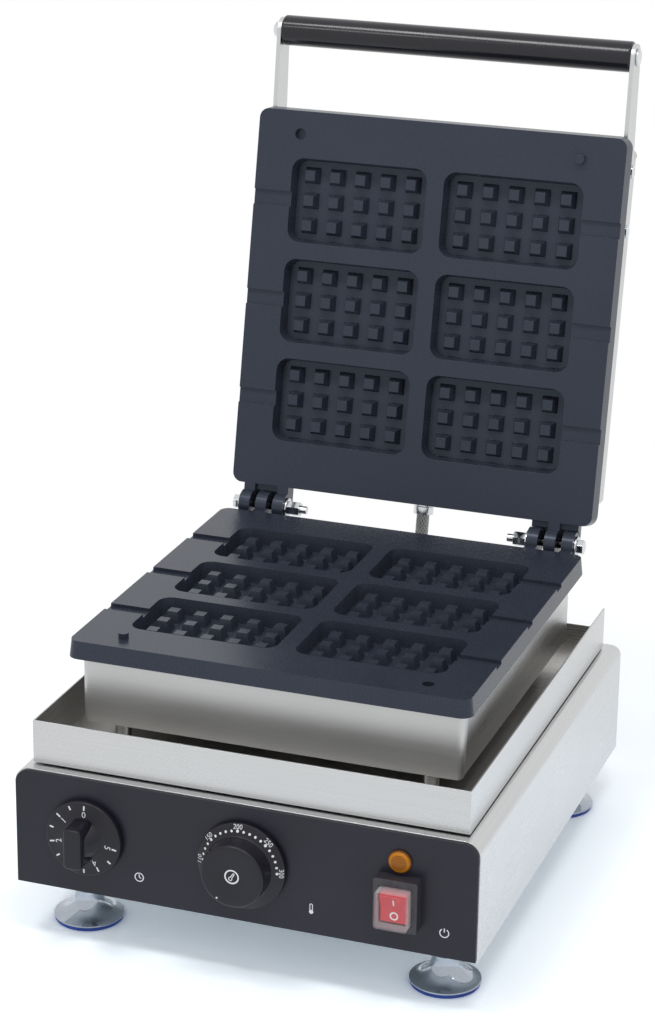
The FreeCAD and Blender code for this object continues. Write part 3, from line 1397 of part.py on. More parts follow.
def build_rocker(frame):
    """Rocker with a shallow valley in its face and its upper half standing out, tilted about its pin."""
    body = doc.addObject("PartDesign::Body", "switch_rocker")
    sketch = sketch_on(body, "rocker_profile", "YZ_Plane", "-rocker_width / 2")
    back, front, valley = (at_name(name) for name in ("rocker_back", "rocker_front_depth", "rocker_valley"))
    low, high = at_name("rocker_foot"), at_name("rocker_half")
    face_low, face_high = at_name("rocker_face_foot"), at_name("rocker_face_half")
    middle = ("0", 0.0)
    outline(sketch, [(low, back), (high, back), (face_high, front), (middle, valley), (face_low, front)])
    block = body.newObject("PartDesign::Pad", "rocker_block")
    block.Profile = sketch
    bind(block, Length="rocker_width")
    eye = body.newObject("PartDesign::SubtractiveCylinder", "rocker_eye")
    eye.Placement = FreeCAD.Placement(Vector(), TURNS["x"])
    bind(eye, Radius="rocker_pin_radius + shaft_clearance", Height="rocker_width + 2 * cut_margin")
    place(eye, ("-rocker_width / 2 - cut_margin", "0", "0"))
    doc.recompute()
    tilt = FreeCAD.Rotation(Vector(1, 0, 0), size("rocker_tilt"))
    pivot = Vector(0, 0, size("rocker_pivot_proud"))
    finish("switch_rocker", [body], frame.multiply(FreeCAD.Placement(pivot, tilt)))


def build_lamp():
    """Indicator lamp: amber lens on a barrel through the panel, held by a nut."""
    frame = panel_frame("switch_across", "lamp_height")
    flange = cone("lamp_flange", "lamp_flange_radius", "lamp_lens_radius", "lamp_flange_height",
                  ("0", "0", "0"))
    lens = rod("lamp_dome", "lamp_lens_radius", "lamp_lens_height", ("0", "0", "0"))
    dome = rounded("lamp_round", lens, "knob_edge_radius",
                   lambda edge: is_ring_above(edge, "lamp_flange_height"))
    finish("lamp_lens", [fuse("lamp_lens", [flange, dome])], frame)
    finish("lamp_barrel", [rod("lamp_barrel_rod", "lamp_barrel_radius", "lamp_barrel_length",
                               ("0", "0", "-lamp_barrel_length"))], frame)
    finish("lamp_nut", [nut("lamp_nut", "lamp_nut_radius", "lamp_nut_height", "lamp_barrel_radius",
                            ("0", "0", "-front_back - lamp_nut_height"))], frame)


def build_inside():
    """Terminal block on the bottom pan and the mains inlet gland in the back wall."""
    block = box("terminal_form", "terminal_length", "terminal_width", "terminal_height",
                ("terminal_across - terminal_length / 2", "terminal_y - terminal_width / 2", "bottom_top"))
    wells = []
    for way in range(int(size("terminal_ways"))):
        x = f"terminal_across + ({way} - (terminal_ways - 1) / 2) * terminal_length / terminal_ways"
        wells.append(rod(f"terminal_well_{way}", "terminal_well_radius", "terminal_well_depth + cut_margin",
                         (x, "terminal_y", "bottom_top + terminal_height - terminal_well_depth")))
    finish("terminal_block", [cut("terminal_block", block, wells)], BASE)
    inside = ("inlet_across", "casing_depth - inlet_inside", "inlet_height")
    head = hexagon("inlet_head", "inlet_radius", "inlet_length",
                   ("inlet_across", "casing_depth", "inlet_height"), "y")
    thread = rod("inlet_thread", "inlet_thread_radius", "inlet_inside", inside, "y")
    form = fuse("inlet_form", [head, thread])
    whole = "inlet_inside + inlet_length"
    finish("mains_inlet", [bored("mains_inlet", form, "inlet_bore_radius", whole, inside, "y")], BASE)


def check_and_write():
    """Stop on any failed object or bad shape, then write one file per sub-part."""
    doc.recompute()
    for item in doc.Objects:
        if "Invalid" in item.State or "Error" in item.State:
            raise RuntimeError(f"{item.Label} failed: {item.State}")
    os.makedirs("parts", exist_ok=True)
    whole = FreeCAD.BoundBox()
    for item in NODES:
        shape = item.Shape
        if shape.isNull() or not shape.isValid() or not shape.Solids:
            raise RuntimeError(f"{item.Label} has no valid solid")
        whole.add(shape.optimalBoundingBox())
        shape.exportStep(os.path.join("parts", item.Label + ".step"))
        print(f"{item.Label}: {len(shape.Solids)} solids, {shape.Volume / 1000:.1f} cm3")
    print(f"{len(NODES)} nodes, {whole}")


def build():
    """Build every sub-part in the order in which the object is put together."""
    build_casing()
    build_bottom()
    build_front()
    build_feet()
    build_tray()
    build_ties()
    build_castings()
    for which, frame, housing in (("lower", LOWER, "lower_housing"), ("upper", LID, "upper_cover")):
        build_heater(which, frame)
        build_housing(housing, frame, duct=which == "lower")
        build_gland(f"{which}_gland", frame)
    build_lead()
    build_hinge_bolts()
    build_handle()
    build_grip()
    build_timer()
    build_thermostat()
    build_switch()
    build_lamp()
    build_inside()
    check_and_write()


build()
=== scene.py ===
"""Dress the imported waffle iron: finishes, dials with their print, sheet laps and a sleeved lead.

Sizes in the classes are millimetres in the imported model's own frame, X across the front, Y to the back
and Z up. They become metres where a mesh is made, and in the finishes they are metres.
"""
import json
import logging
import math
from dataclasses import dataclass
from enum import Enum

import bpy
import numpy as np
from mathutils import Matrix, Vector


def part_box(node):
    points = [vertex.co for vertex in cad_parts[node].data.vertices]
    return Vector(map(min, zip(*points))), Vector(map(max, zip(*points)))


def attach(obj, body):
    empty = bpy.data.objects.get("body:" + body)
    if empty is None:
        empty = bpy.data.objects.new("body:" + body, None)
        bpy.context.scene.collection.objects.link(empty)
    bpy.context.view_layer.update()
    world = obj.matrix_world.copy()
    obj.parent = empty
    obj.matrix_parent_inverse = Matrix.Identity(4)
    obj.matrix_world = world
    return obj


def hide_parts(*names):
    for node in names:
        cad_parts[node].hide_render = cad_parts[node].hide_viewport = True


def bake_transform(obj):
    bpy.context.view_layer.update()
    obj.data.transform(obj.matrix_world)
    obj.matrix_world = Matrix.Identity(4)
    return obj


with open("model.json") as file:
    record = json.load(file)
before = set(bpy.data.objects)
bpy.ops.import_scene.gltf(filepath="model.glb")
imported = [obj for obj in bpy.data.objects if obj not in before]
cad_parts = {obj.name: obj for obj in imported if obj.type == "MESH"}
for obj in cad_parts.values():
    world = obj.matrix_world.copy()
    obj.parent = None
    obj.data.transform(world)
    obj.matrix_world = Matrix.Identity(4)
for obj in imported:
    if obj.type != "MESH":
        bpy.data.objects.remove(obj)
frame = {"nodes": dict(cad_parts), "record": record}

LOG = logging.getLogger("waffle_iron")
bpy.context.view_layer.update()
METRE = 0.001
PRINT_LIFT = 0.05
NOISE_REACH = 0.2
SUM_REACH = 0.15

Colour = tuple[float, float, float, float]
Triple = tuple[float, float, float]
Pair = tuple[float, float]
Socket = bpy.types.NodeSocket


def corners(node: str) -> tuple[np.ndarray, np.ndarray]:
    """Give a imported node's lowest and highest corner in millimetres."""
    low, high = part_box(node)
    return np.array(low) / METRE, np.array(high) / METRE


def pivot(joint: str) -> np.ndarray:
    """Give the point that a joint turns about, in millimetres."""
    joints = frame["record"]["behaviour"]["joints"]
    return np.array(next(item["pos_m"] for item in joints if item["name"] == joint)) / METRE


PANEL_Y = corners("panel_fascia")[0][1]
HINGE = pivot("lid_hinge")
LID_ANGLE = 101.5


def shown(red: float, green: float, blue: float) -> Colour:
    """Turn a colour as a screen shows it into the linear light that a shader takes.

    Args:
        red, green, blue: the screen's values, 0 to 255.

    Returns:
        The linear colour with an alpha of 1.
    """
    value = np.array((red, green, blue)) / 255
    linear = np.where(value <= 0.04045, value / 12.92, ((value + 0.055) / 1.055) ** 2.4)
    return (*linear.tolist(), 1.0)


class Graph:
    """The nodes of one material or world, with short ways to add and join them."""

    def __init__(self, tree: bpy.types.NodeTree) -> None:
        """Take up the tree to add to."""
        self.tree = tree

    def feed(self, node: bpy.types.Node, values: dict) -> None:
        """Set inputs of a node, or link them where the value is a socket.

        Args:
            node: the node that takes the values.
            values: input names or numbers, each with its value or the socket that gives it.
        """
        for key, value in values.items():
            if isinstance(value, bpy.types.NodeSocket):
                self.tree.links.new(value, node.inputs[key])
            else:
                node.inputs[key].default_value = value

    def add(self, kind: str, values: dict, **settings: object) -> bpy.types.Node:
        """Add a node with its settings and inputs.

        Args:
            kind: the node's Blender type.
            values: inputs as feed() takes them.
            settings: the node's own properties.

        Returns:
            The new node.
        """
        node = self.tree.nodes.new(kind)
        for key, value in settings.items():
            setattr(node, key, value)
        self.feed(node, values)
        return node

    def place(self, stretch: Triple = (1, 1, 1), centre: tuple = (0, 0, 0)) -> Socket:
        """Give the piece's own coordinates, in metres from a centre, times a stretch along each axis."""
        where = self.tree.nodes.new("ShaderNodeTexCoord").outputs["Object"]
        shifted = self.add("ShaderNodeVectorMath", {0: where, 1: centre}, operation="SUBTRACT").outputs[0]
        return self.add("ShaderNodeVectorMath", {0: shifted, 1: stretch}, operation="MULTIPLY").outputs[0]

    def noise(self, where: Socket, scale: float, detail: float = 2.0, rough: float = 0.5) -> Socket:
        """Give cloudy noise from 0 to 1 at a scale of patches per unit."""
        values = {"Vector": where, "Scale": scale, "Detail": detail, "Roughness": rough}
        return self.add("ShaderNodeTexNoise", values).outputs[0]

    def span(self, value: Socket, start: float, end: float, low: float, high: float) -> Socket:
        """Carry a value from the range start to end over to the range low to high, held at both ends."""
        values = {"Value": value, "From Min": start, "From Max": end, "To Min": low, "To Max": high}
        return self.add("ShaderNodeMapRange", values).outputs[0]

    def spread(self, noise: Socket, low: float = 0.0, high: float = 1.0,
               reach: float = NOISE_REACH) -> Socket:
        """Carry noise, which keeps within a reach of one half, over to the range low to high."""
        return self.span(noise, 0.5 - reach, 0.5 + reach, low, high)

    def maths(self, operation: str, first: Socket | float, second: Socket | float = 0.0) -> Socket:
        """Give one sum, product or other operation on one or two values."""
        return self.add("ShaderNodeMath", {0: first, 1: second}, operation=operation).outputs[0]

    def mix(self, share: Socket, first: Colour | Socket, second: Colour | Socket) -> Socket:
        """Give a colour between two, by a share from 0 to 1."""
        return self.add("ShaderNodeMix", {0: share, 6: first, 7: second}, data_type="RGBA").outputs[2]

    def blend(self, first: Socket, second: Socket, share: float) -> Socket:
        """Give a sum of two patterns: a share of the first and the rest of the second."""
        one, other = self.maths("MULTIPLY", first, share), self.maths("MULTIPLY", second, 1 - share)
        return self.maths("ADD", one, other)

    def bump(self, height: Socket, distance: float, strength: float) -> Socket:
        """Give a normal that a height from 0 to 1, over a distance in metres, makes uneven."""
        values = {"Height": height, "Distance": distance, "Strength": strength}
        return self.add("ShaderNodeBump", values).outputs[0]


@dataclass(frozen=True)
class Finish:
    """A finish on the object's surfaces, made once as a material."""

    name: str
    slot: str

    def material(self) -> bpy.types.Material:
        """Give the finish's material.

        Returns:
            The material of the finish's name, made at the first call.
        """
        known = bpy.data.materials.get(self.name)
        if known is None:
            known = bpy.data.materials.new(self.name)
            known.use_nodes = True
            graph = Graph(known.node_tree)
            shader = next(node for node in known.node_tree.nodes if node.type == "BSDF_PRINCIPLED")
            graph.feed(shader, self.values(graph))
        return known

    def values(self, graph: Graph) -> dict:
        """Give the shader's inputs.

        Args:
            graph: the material's nodes, to add the pattern to.

        Returns:
            Input names, each with a value or a socket.
        """
        raise NotImplementedError


class Grain(Enum):
    """The way a sheet's brushed lines run: the stretch of their noise along X, Y and Z."""

    LEVEL = (5.0, 5.0, 1900.0)
    UPRIGHT = (1900.0, 1900.0, 5.0)
    ACROSS = (5.0, 1900.0, 1900.0)


@dataclass(frozen=True)
class BrushedSteel(Finish):
    """Stainless sheet: fine lines of the rolling, with faint clouds where it was handled."""

    grain: Grain = Grain.LEVEL
    light: Colour = shown(204, 205, 205)
    dark: Colour = shown(197, 198, 199)
    smooth: float = 0.25
    rough: float = 0.32

    def values(self, graph: Graph) -> dict:
        """Give lines one way and clouds all over, in colour, roughness and bump."""
        lines = graph.noise(graph.place(self.grain.value), 1.0, 3.0, 0.6)
        clouds = graph.noise(graph.place(), 14.0, 3.0)
        uneven = graph.blend(lines, clouds, 0.6)
        return {
            "Base Color": graph.mix(graph.spread(lines), self.dark, self.light),
            "Metallic": 1.0,
            "Roughness": graph.spread(uneven, self.smooth, self.rough, SUM_REACH),
            "Normal": graph.bump(lines, 0.00001, 0.15),
        }


@dataclass(frozen=True)
class TrayPaintedInside(BrushedSteel):
    """Drip tray: brushed sheet outside, and on the faces that look inwards a painted reflection, a
    brown-grey and less metallic tone.
    """

    painted_reflection: Colour = shown(178, 175, 170)
    painted_reflection_metal: float = 0.7
    painted_reflection_start: float = 0.0005
    painted_reflection_edge: float = 0.0001

    def values(self, graph: Graph) -> dict:
        """Give the sheet's own inputs, with the painted reflection where the place is inside the tray's
        four walls.
        """
        inputs = super().values(graph)
        low, high = corners("drip_tray")
        middle, half = (low + high) / 2 * METRE, (high - low) / 2 * METRE
        where = graph.add("ShaderNodeSeparateXYZ", {0: graph.place(centre=tuple(middle))})
        room = half - self.painted_reflection_start
        depth = [graph.maths("SUBTRACT", room[axis], graph.maths("ABSOLUTE", where.outputs[axis]))
                 for axis in (0, 1)]
        lift = graph.maths("ADD", where.outputs[2], room[2])
        inside = graph.maths("MINIMUM", graph.maths("MINIMUM", *depth), lift)
        share = graph.span(inside, 0.0, self.painted_reflection_edge, 0.0, 1.0)
        patches = graph.spread(graph.noise(graph.place(), 25.0, 3.0), 0.75, 1.0)
        painted_share = graph.maths("MULTIPLY", share, patches)
        # Painted reflection: inside the walls the colour goes brown-grey and the metal drops, standing in
        # for the light reflected inside the tray.
        inputs["Base Color"] = graph.mix(painted_share, inputs["Base Color"], self.painted_reflection)
        inputs["Metallic"] = graph.span(share, 0.0, 1.0, 1.0, self.painted_reflection_metal)
        return inputs


@dataclass(frozen=True)
class NonStick(Finish):
    """Non-stick coat on the plates: a dark blue-grey skin with a fine sprayed grain and dull clouds."""

    light: Colour = shown(52, 56, 67)
    dark: Colour = shown(44, 48, 59)
    sheen: Colour = (0.7, 0.81, 1.0, 1.0)

    def values(self, graph: Graph) -> dict:
        """Give a sprayed grain in bump and roughness, and clouds in colour."""
        where = graph.place()
        grain = graph.noise(where, 1100.0, 3.0, 0.6)
        clouds = graph.noise(where, 11.0, 4.0, 0.6)
        dull = graph.blend(grain, clouds, 0.5)
        return {
            "Base Color": graph.mix(graph.spread(dull, reach=SUM_REACH), self.dark, self.light),
            "Roughness": graph.spread(dull, 0.22, 0.32, SUM_REACH),
            "Specular IOR Level": 0.38,
            "Specular Tint": self.sheen,
            "Normal": graph.bump(grain, 0.00004, 0.4),
        }


@dataclass(frozen=True)
class Moulded(Finish):
    """Moulded or printed plastic: one colour with a fine skin grain and slight clouds."""

    light: Colour = shown(40, 40, 44)
    dark: Colour = shown(32, 32, 36)
    smooth: float = 0.34
    rough: float = 0.46
    gloss: float = 0.4
    coat: float = 0.0
    grain_scale: float = 1500.0
    grain_depth: float = 0.00003

    def values(self, graph: Graph) -> dict:
        """Give a skin grain in bump, and clouds in colour and roughness."""
        where = graph.place()
        grain = graph.noise(where, self.grain_scale, 2.0)
        clouds = graph.noise(where, 30.0, 3.0)
        return {
            "Base Color": graph.mix(graph.spread(clouds), self.dark, self.light),
            "Roughness": graph.spread(clouds, self.smooth, self.rough),
            "Specular IOR Level": self.gloss,
            "Coat Weight": self.coat,
            "Coat Roughness": 0.06,
            "Normal": graph.bump(grain, self.grain_depth, 0.4),
        }


@dataclass(frozen=True)
class Plated(Finish):
    """Plated or bare small metal: a polish that finger marks and crystals make uneven."""

    light: Colour = shown(222, 224, 226)
    dark: Colour = shown(196, 198, 202)
    smooth: float = 0.08
    rough: float = 0.2
    patch_scale: float = 120.0

    def values(self, graph: Graph) -> dict:
        """Give patches in colour and roughness, with a slight bump."""
        where = graph.place()
        patches = graph.noise(where, self.patch_scale, 4.0, 0.6)
        return {
            "Base Color": graph.mix(graph.spread(patches), self.dark, self.light),
            "Metallic": 1.0,
            "Roughness": graph.spread(patches, self.smooth, self.rough),
            "Normal": graph.bump(patches, 0.00002, 0.2),
        }


@dataclass(frozen=True)
class HingeBolt(Plated):
    """Bright bolt, with painted shade on the stretch of its shank that lies in the hinge."""

    painted_shade: Colour = shown(40, 39, 40)
    shaded_span: Pair = (0.0793, 0.1077)

    def values(self, graph: Graph) -> dict:
        """Give the plating's own inputs, with painted shade between two distances to each side of the
        middle.
        """
        inputs = super().values(graph)
        across = graph.add("ShaderNodeSeparateXYZ", {0: graph.place()}).outputs["X"]
        away = graph.maths("ABSOLUTE", across)
        low, high = self.shaded_span
        past, before = graph.maths("GREATER_THAN", away, low), graph.maths("LESS_THAN", away, high)
        within = graph.maths("MULTIPLY", past, before)
        # Painted shade: the shank is painted dark where it lies between the hinge's knuckles, in their
        # shadow.
        inputs["Base Color"] = graph.mix(within, inputs["Base Color"], self.painted_shade)
        return inputs


@dataclass(frozen=True)
class ClearPlastic(Finish):
    """Thin clear cover: see-through face on, paler and denser where the wall is seen along its length."""

    tint: Colour = shown(240, 236, 240)

    def values(self, graph: Graph) -> dict:
        """Give an opacity that grows towards the edge of sight, and faint moulding waves."""
        facing = graph.add("ShaderNodeLayerWeight", {"Blend": 0.3}).outputs["Facing"]
        waves = graph.noise(graph.place(), 200.0, 1.0)
        return {
            "Base Color": self.tint,
            "Roughness": graph.spread(waves, 0.06, 0.12),
            "Alpha": graph.span(facing, 0.1, 0.95, 0.04, 0.6),
            "Normal": graph.bump(waves, 0.00005, 0.2),
        }


@dataclass(frozen=True)
class AmberLens(Finish):
    """Amber lamp lens: level ribs over a darker middle, a brighter rim and a dark edge."""

    middle: Colour = shown(172, 106, 16)
    groove: Colour = shown(122, 68, 8)
    rim: Colour = shown(198, 122, 8)
    edge: Colour = shown(92, 54, 12)
    pitch: float = 0.0011
    middle_radius: float = 0.0042
    rim_radius: float = 0.005
    edge_radius: Pair = (0.0056, 0.0062)

    def values(self, graph: Graph) -> dict:
        """Give ribs as waves up the lens, darker in the grooves, and the rim's and the edge's colour."""
        low, high = corners("lamp_lens")
        where = graph.place((1, 0, 1), tuple((low + high) / 2 * METRE))
        reach = graph.add("ShaderNodeVectorMath", {0: where}, operation="LENGTH").outputs["Value"]
        height = graph.add("ShaderNodeSeparateXYZ", {0: where}).outputs["Z"]
        wave = graph.maths("SINE", graph.maths("MULTIPLY", height, math.tau / self.pitch))
        ribs = graph.span(wave, -1.0, 1.0, 0.0, 1.0)
        outer = graph.span(reach, self.middle_radius, self.rim_radius, 0.0, 1.0)
        inner = graph.mix(outer, graph.mix(ribs, self.groove, self.middle), self.rim)
        return {
            "Base Color": graph.mix(graph.span(reach, *self.edge_radius, 0.0, 1.0), inner, self.edge),
            "Roughness": 0.28,
            "Specular IOR Level": 0.25,
            "Coat Weight": 0.1,
            "Coat Roughness": 0.08,
            "Normal": graph.bump(ribs, 0.0001, 0.6),
        }


@dataclass(frozen=True)
class Braid(Finish):
    """Braided glass sleeve: strands that cross both ways round the lead, on the lead's own UV map."""

    light: Colour = shown(206, 208, 206)
    dark: Colour = shown(128, 130, 130)
    strands: float = 12.0
    rows: float = 34.0

    def values(self, graph: Graph) -> dict:
        """Give two crossing sets of waves, the higher of which is the strand on top."""
        around = self.set_of_strands(graph, 1.0)
        back = self.set_of_strands(graph, -1.0)
        top = graph.maths("MAXIMUM", around, back)
        return {
            "Base Color": graph.mix(graph.span(top, 0.2, 0.9, 0.0, 1.0), self.dark, self.light),
            "Roughness": graph.span(top, 0.0, 1.0, 0.75, 0.5),
            "Normal": graph.bump(top, 0.0004, 0.8),
        }

    def set_of_strands(self, graph: Graph, way: float) -> Socket:
        """Give the strands that climb one way: the sine of turns times strands plus length times rows."""
        places = graph.add("ShaderNodeUVMap", {}, uv_map="sleeve").outputs[0]
        parts = graph.add("ShaderNodeSeparateXYZ", {0: places})
        turns = graph.maths("MULTIPLY", parts.outputs["X"], self.strands * way * math.tau)
        climb = graph.maths("MULTIPLY", parts.outputs["Y"], self.rows * math.tau)
        return graph.span(graph.maths("SINE", graph.maths("ADD", turns, climb)), -1.0, 1.0, 0.0, 1.0)


STEEL = BrushedSteel("brushed_steel", "stainless")
ARM_STEEL = BrushedSteel("arm_steel", "stainless", Grain.UPRIGHT)
HOUSING_STEEL = BrushedSteel("housing_steel", "stainless", smooth=0.26, rough=0.34)
LAP_STEEL = BrushedSteel("lap_steel", "stainless", smooth=0.42, rough=0.5)
# Painted light: the pan's steel is lighter than the casing's, standing in for the floor's light on it,
# which the feet reflect.
LIT_PAN_STEEL = BrushedSteel("pan_steel_painted_light", "stainless", Grain.ACROSS, shown(220, 222, 222), shown(204, 206, 207),
                         0.3, 0.45)
TRAY_STEEL = TrayPaintedInside("tray_steel", "stainless")
COAT = NonStick("non_stick_coat", "cast_plate")
FASCIA = Moulded("fascia_film", "fascia", shown(39, 38, 50), shown(33, 32, 43), 0.32, 0.42, 0.3)
KNOB = Moulded("knob_plastic", "knob_black", shown(33, 33, 41), shown(27, 27, 34), 0.26, 0.36, 0.3)
BEZEL = Moulded("bezel_plastic", "black_gloss", shown(58, 56, 62), shown(50, 48, 54), 0.2, 0.3, 0.5)
GRIP = Moulded("grip_gloss", "black_gloss", shown(28, 28, 36), shown(23, 23, 30), 0.16, 0.26, 0.3, 0.25,
               300.0, 0.00001)
ROCKER = Moulded("rocker_red", "red_rocker", shown(214, 40, 52), shown(198, 28, 40), 0.2, 0.3, 0.5, 0.3)
PAD = Moulded("foot_pad_blue", "pad", shown(52, 86, 176), shown(38, 66, 150), 0.4, 0.5, 0.4)
CERAMIC = Moulded("terminal_ceramic", "mechanism", shown(224, 220, 208), shown(208, 204, 192), 0.4, 0.6)
CASE = Moulded("control_case", "mechanism", shown(92, 92, 96), shown(76, 76, 80), 0.4, 0.55, 0.4)
INK = Moulded("white_print", "fascia", shown(240, 241, 244), shown(228, 230, 234), 0.4, 0.5, 0.3)
CHROME = Plated("bright_plating", "plated")
SHADED_BOLT = HingeBolt("bolt_painted_shade", "plated")
FOOT_PLATING = Plated("foot_plating", "plated", shown(176, 183, 191), shown(158, 165, 174),
                      0.07, 0.14, 60.0)
ZINC = Plated("zinc_plating", "zinc", shown(198, 202, 208), shown(160, 164, 172), 0.22, 0.4, 260.0)
SHEATH = Plated("heater_sheath", "heater_tube", shown(120, 116, 112), shown(84, 82, 82), 0.4, 0.6, 90.0)
COPPER = Plated("copper_tube", "copper", shown(214, 142, 108), shown(176, 108, 80), 0.2, 0.4, 160.0)
COVER = ClearPlastic("cover_plastic", "clear_cover")
AMBER = AmberLens("lens_plastic", "amber_lens")
SLEEVE = Braid("glass_braid", "sleeve")


@dataclass(frozen=True)
class EdgeBreak:
    """The small round or chamfer that every worked edge has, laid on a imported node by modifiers.

    The loose triangles are joined, flat faces made whole, edges sharper than the limit rounded, and the
    shading weighted to the large faces.
    """

    width: float = 0.5
    steps: int = 2
    limit: float = 0.6
    flat: float = 0.01
    join: float = 1e-6
    weight: int = 60

    def lay_on(self, piece: bpy.types.Object) -> None:
        """Add the modifiers to a piece."""
        weld = piece.modifiers.new("join", "WELD")
        weld.merge_threshold = self.join
        whole = piece.modifiers.new("flats", "DECIMATE")
        whole.decimate_type = "DISSOLVE"
        whole.angle_limit = self.flat
        edge = piece.modifiers.new("edges", "BEVEL")
        edge.width = self.width * METRE
        edge.segments = self.steps
        edge.limit_method = "ANGLE"
        edge.angle_limit = self.limit
        shade = piece.modifiers.new("shading", "WEIGHTED_NORMAL")
        shade.weight = self.weight
        shade.keep_sharp = False


FINE_EDGE = EdgeBreak(0.25)
SHEET_EDGE = EdgeBreak(0.35)
CAST_EDGE = EdgeBreak(0.7)


def dress(nodes: dict[str, Finish], edge: EdgeBreak | None = None) -> None:
    """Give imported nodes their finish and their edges.

    Args:
        nodes: node names, each with its finish.
        edge: the edge break for all of them, or None to leave the edges.
    """
    for name, finish in nodes.items():
        piece = frame["nodes"][name]
        piece.data.materials.clear()
        piece.data.materials.append(finish.material())
        if edge is not None:
            edge.lay_on(piece)
        LOG.info("dressed %s in %s", name, finish.name)


@dataclass
class Skin:
    """A surface's points in millimetres and its faces, four point numbers each, some equal at poles."""

    points: np.ndarray
    faces: np.ndarray

    def welded(self) -> "Skin":
        """Give the surface with points closer than a micrometre made one, so that seams and poles close."""
        places = np.round(self.points, 3)
        _, first, number = np.unique(places, axis=0, return_index=True, return_inverse=True)
        return Skin(self.points[first], number.reshape(-1)[self.faces])

    def at(self, spot: np.ndarray) -> "Skin":
        """Give the surface moved to a spot."""
        return Skin(self.points + spot, self.faces)

    def turned(self, matrix: np.ndarray) -> "Skin":
        """Give the surface moved by a matrix of three rows of four."""
        return Skin(self.points @ matrix[:, :3].T + matrix[:, 3], self.faces)

    def piece(self, name: str, material: bpy.types.Material) -> bpy.types.Object:
        """Make the surface an object of the scene with a material."""
        distinct = [tuple(dict.fromkeys(row)) for row in self.faces.tolist()]
        mesh = bpy.data.meshes.new(name)
        mesh.from_pydata((self.points * METRE).tolist(), [], [row for row in distinct if len(row) > 2])
        mesh.materials.append(material)
        thing = bpy.data.objects.new(name, mesh)
        bpy.context.scene.collection.objects.link(thing)
        return thing

    def make(self, name: str, finish: Finish) -> bpy.types.Object:
        """Make the surface a piece of the scene.

        Args:
            name: the piece's name.
            finish: its finish, whose material it takes.

        Returns:
            The new piece, not yet riding on a body.
        """
        piece = self.piece(name, finish.material())
        piece.data.shade_smooth()
        LOG.info("made %s, %d faces", name, len(piece.data.polygons))
        return piece


def grid_faces(rows: int, columns: int, round_columns: bool = False) -> np.ndarray:
    """Number the faces of a grid of points, row after row.

    Args:
        rows: the count of rows.
        columns: the count of points in a row.
        round_columns: whether the last point of a row joins its first.

    Returns:
        One row of four point numbers for each face.
    """
    row = np.arange(rows - 1)[:, None] * columns
    here = np.arange(columns if round_columns else columns - 1)[None, :]
    after = (here + 1) % columns
    below = row + columns
    return np.stack((row + here, row + after, below + after, below + here), -1).reshape(-1, 4)


def joined(skins: list[Skin]) -> Skin:
    """Give several surfaces as one, with each one's face numbers moved past the points before it."""
    starts = np.cumsum([0] + [len(skin.points) for skin in skins[:-1]])
    return Skin(np.concatenate([skin.points for skin in skins]),
                np.concatenate([skin.faces + start for skin, start in zip(skins, starts)]))


def lathe(profile: np.ndarray, steps: int = 96) -> Skin:
    """Turn a profile about the axis of a dial.

    A point at radius r and height h, at a turn t, lies at r cos t across, h out and r sin t up.

    Args:
        profile: rows of radius and height, from the back's middle round the outside to the front's middle.
        steps: points round the axis.

    Returns:
        The closed surface about the origin, out of the panel towards -Y.
    """
    turn = np.linspace(0, math.tau, steps, endpoint=False)[None, :]
    radius, height = profile[:, :1], profile[:, 1:]
    points = np.stack((radius * np.cos(turn), -height + 0 * turn, radius * np.sin(turn)), -1)
    return Skin(points.reshape(-1, 3), grid_faces(len(profile), steps, True)).welded()


def arc(centre: Pair, radius: float, start: float, end: float, steps: int) -> np.ndarray:
    """Give an arc: the centre plus the radius times cosine and sine, from start to end in degrees."""
    turn = np.radians(np.linspace(start, end, steps))
    return np.array(centre) + radius * np.stack((np.cos(turn), np.sin(turn)), -1)


def drawn(curve: bpy.types.Curve) -> tuple[np.ndarray, np.ndarray]:
    """Turn a curve of Blender's into points and triangles, and take the curve away.

    Args:
        curve: a spline or lettering.

    Returns:
        The points as rows of three, and the triangles as rows of three point numbers.
    """
    holder = bpy.data.objects.new(curve.name, curve)
    mesh = bpy.data.meshes.new_from_object(holder)
    mesh.calc_loop_triangles()
    points = np.empty(len(mesh.vertices) * 3, np.float32)
    triangles = np.empty(len(mesh.loop_triangles) * 3, np.int32)
    mesh.vertices.foreach_get("co", points)
    mesh.loop_triangles.foreach_get("vertices", triangles)
    bpy.data.objects.remove(holder)
    bpy.data.curves.remove(curve)
    bpy.data.meshes.remove(mesh)
    return points.reshape(-1, 3).astype(float), triangles.reshape(-1, 3)


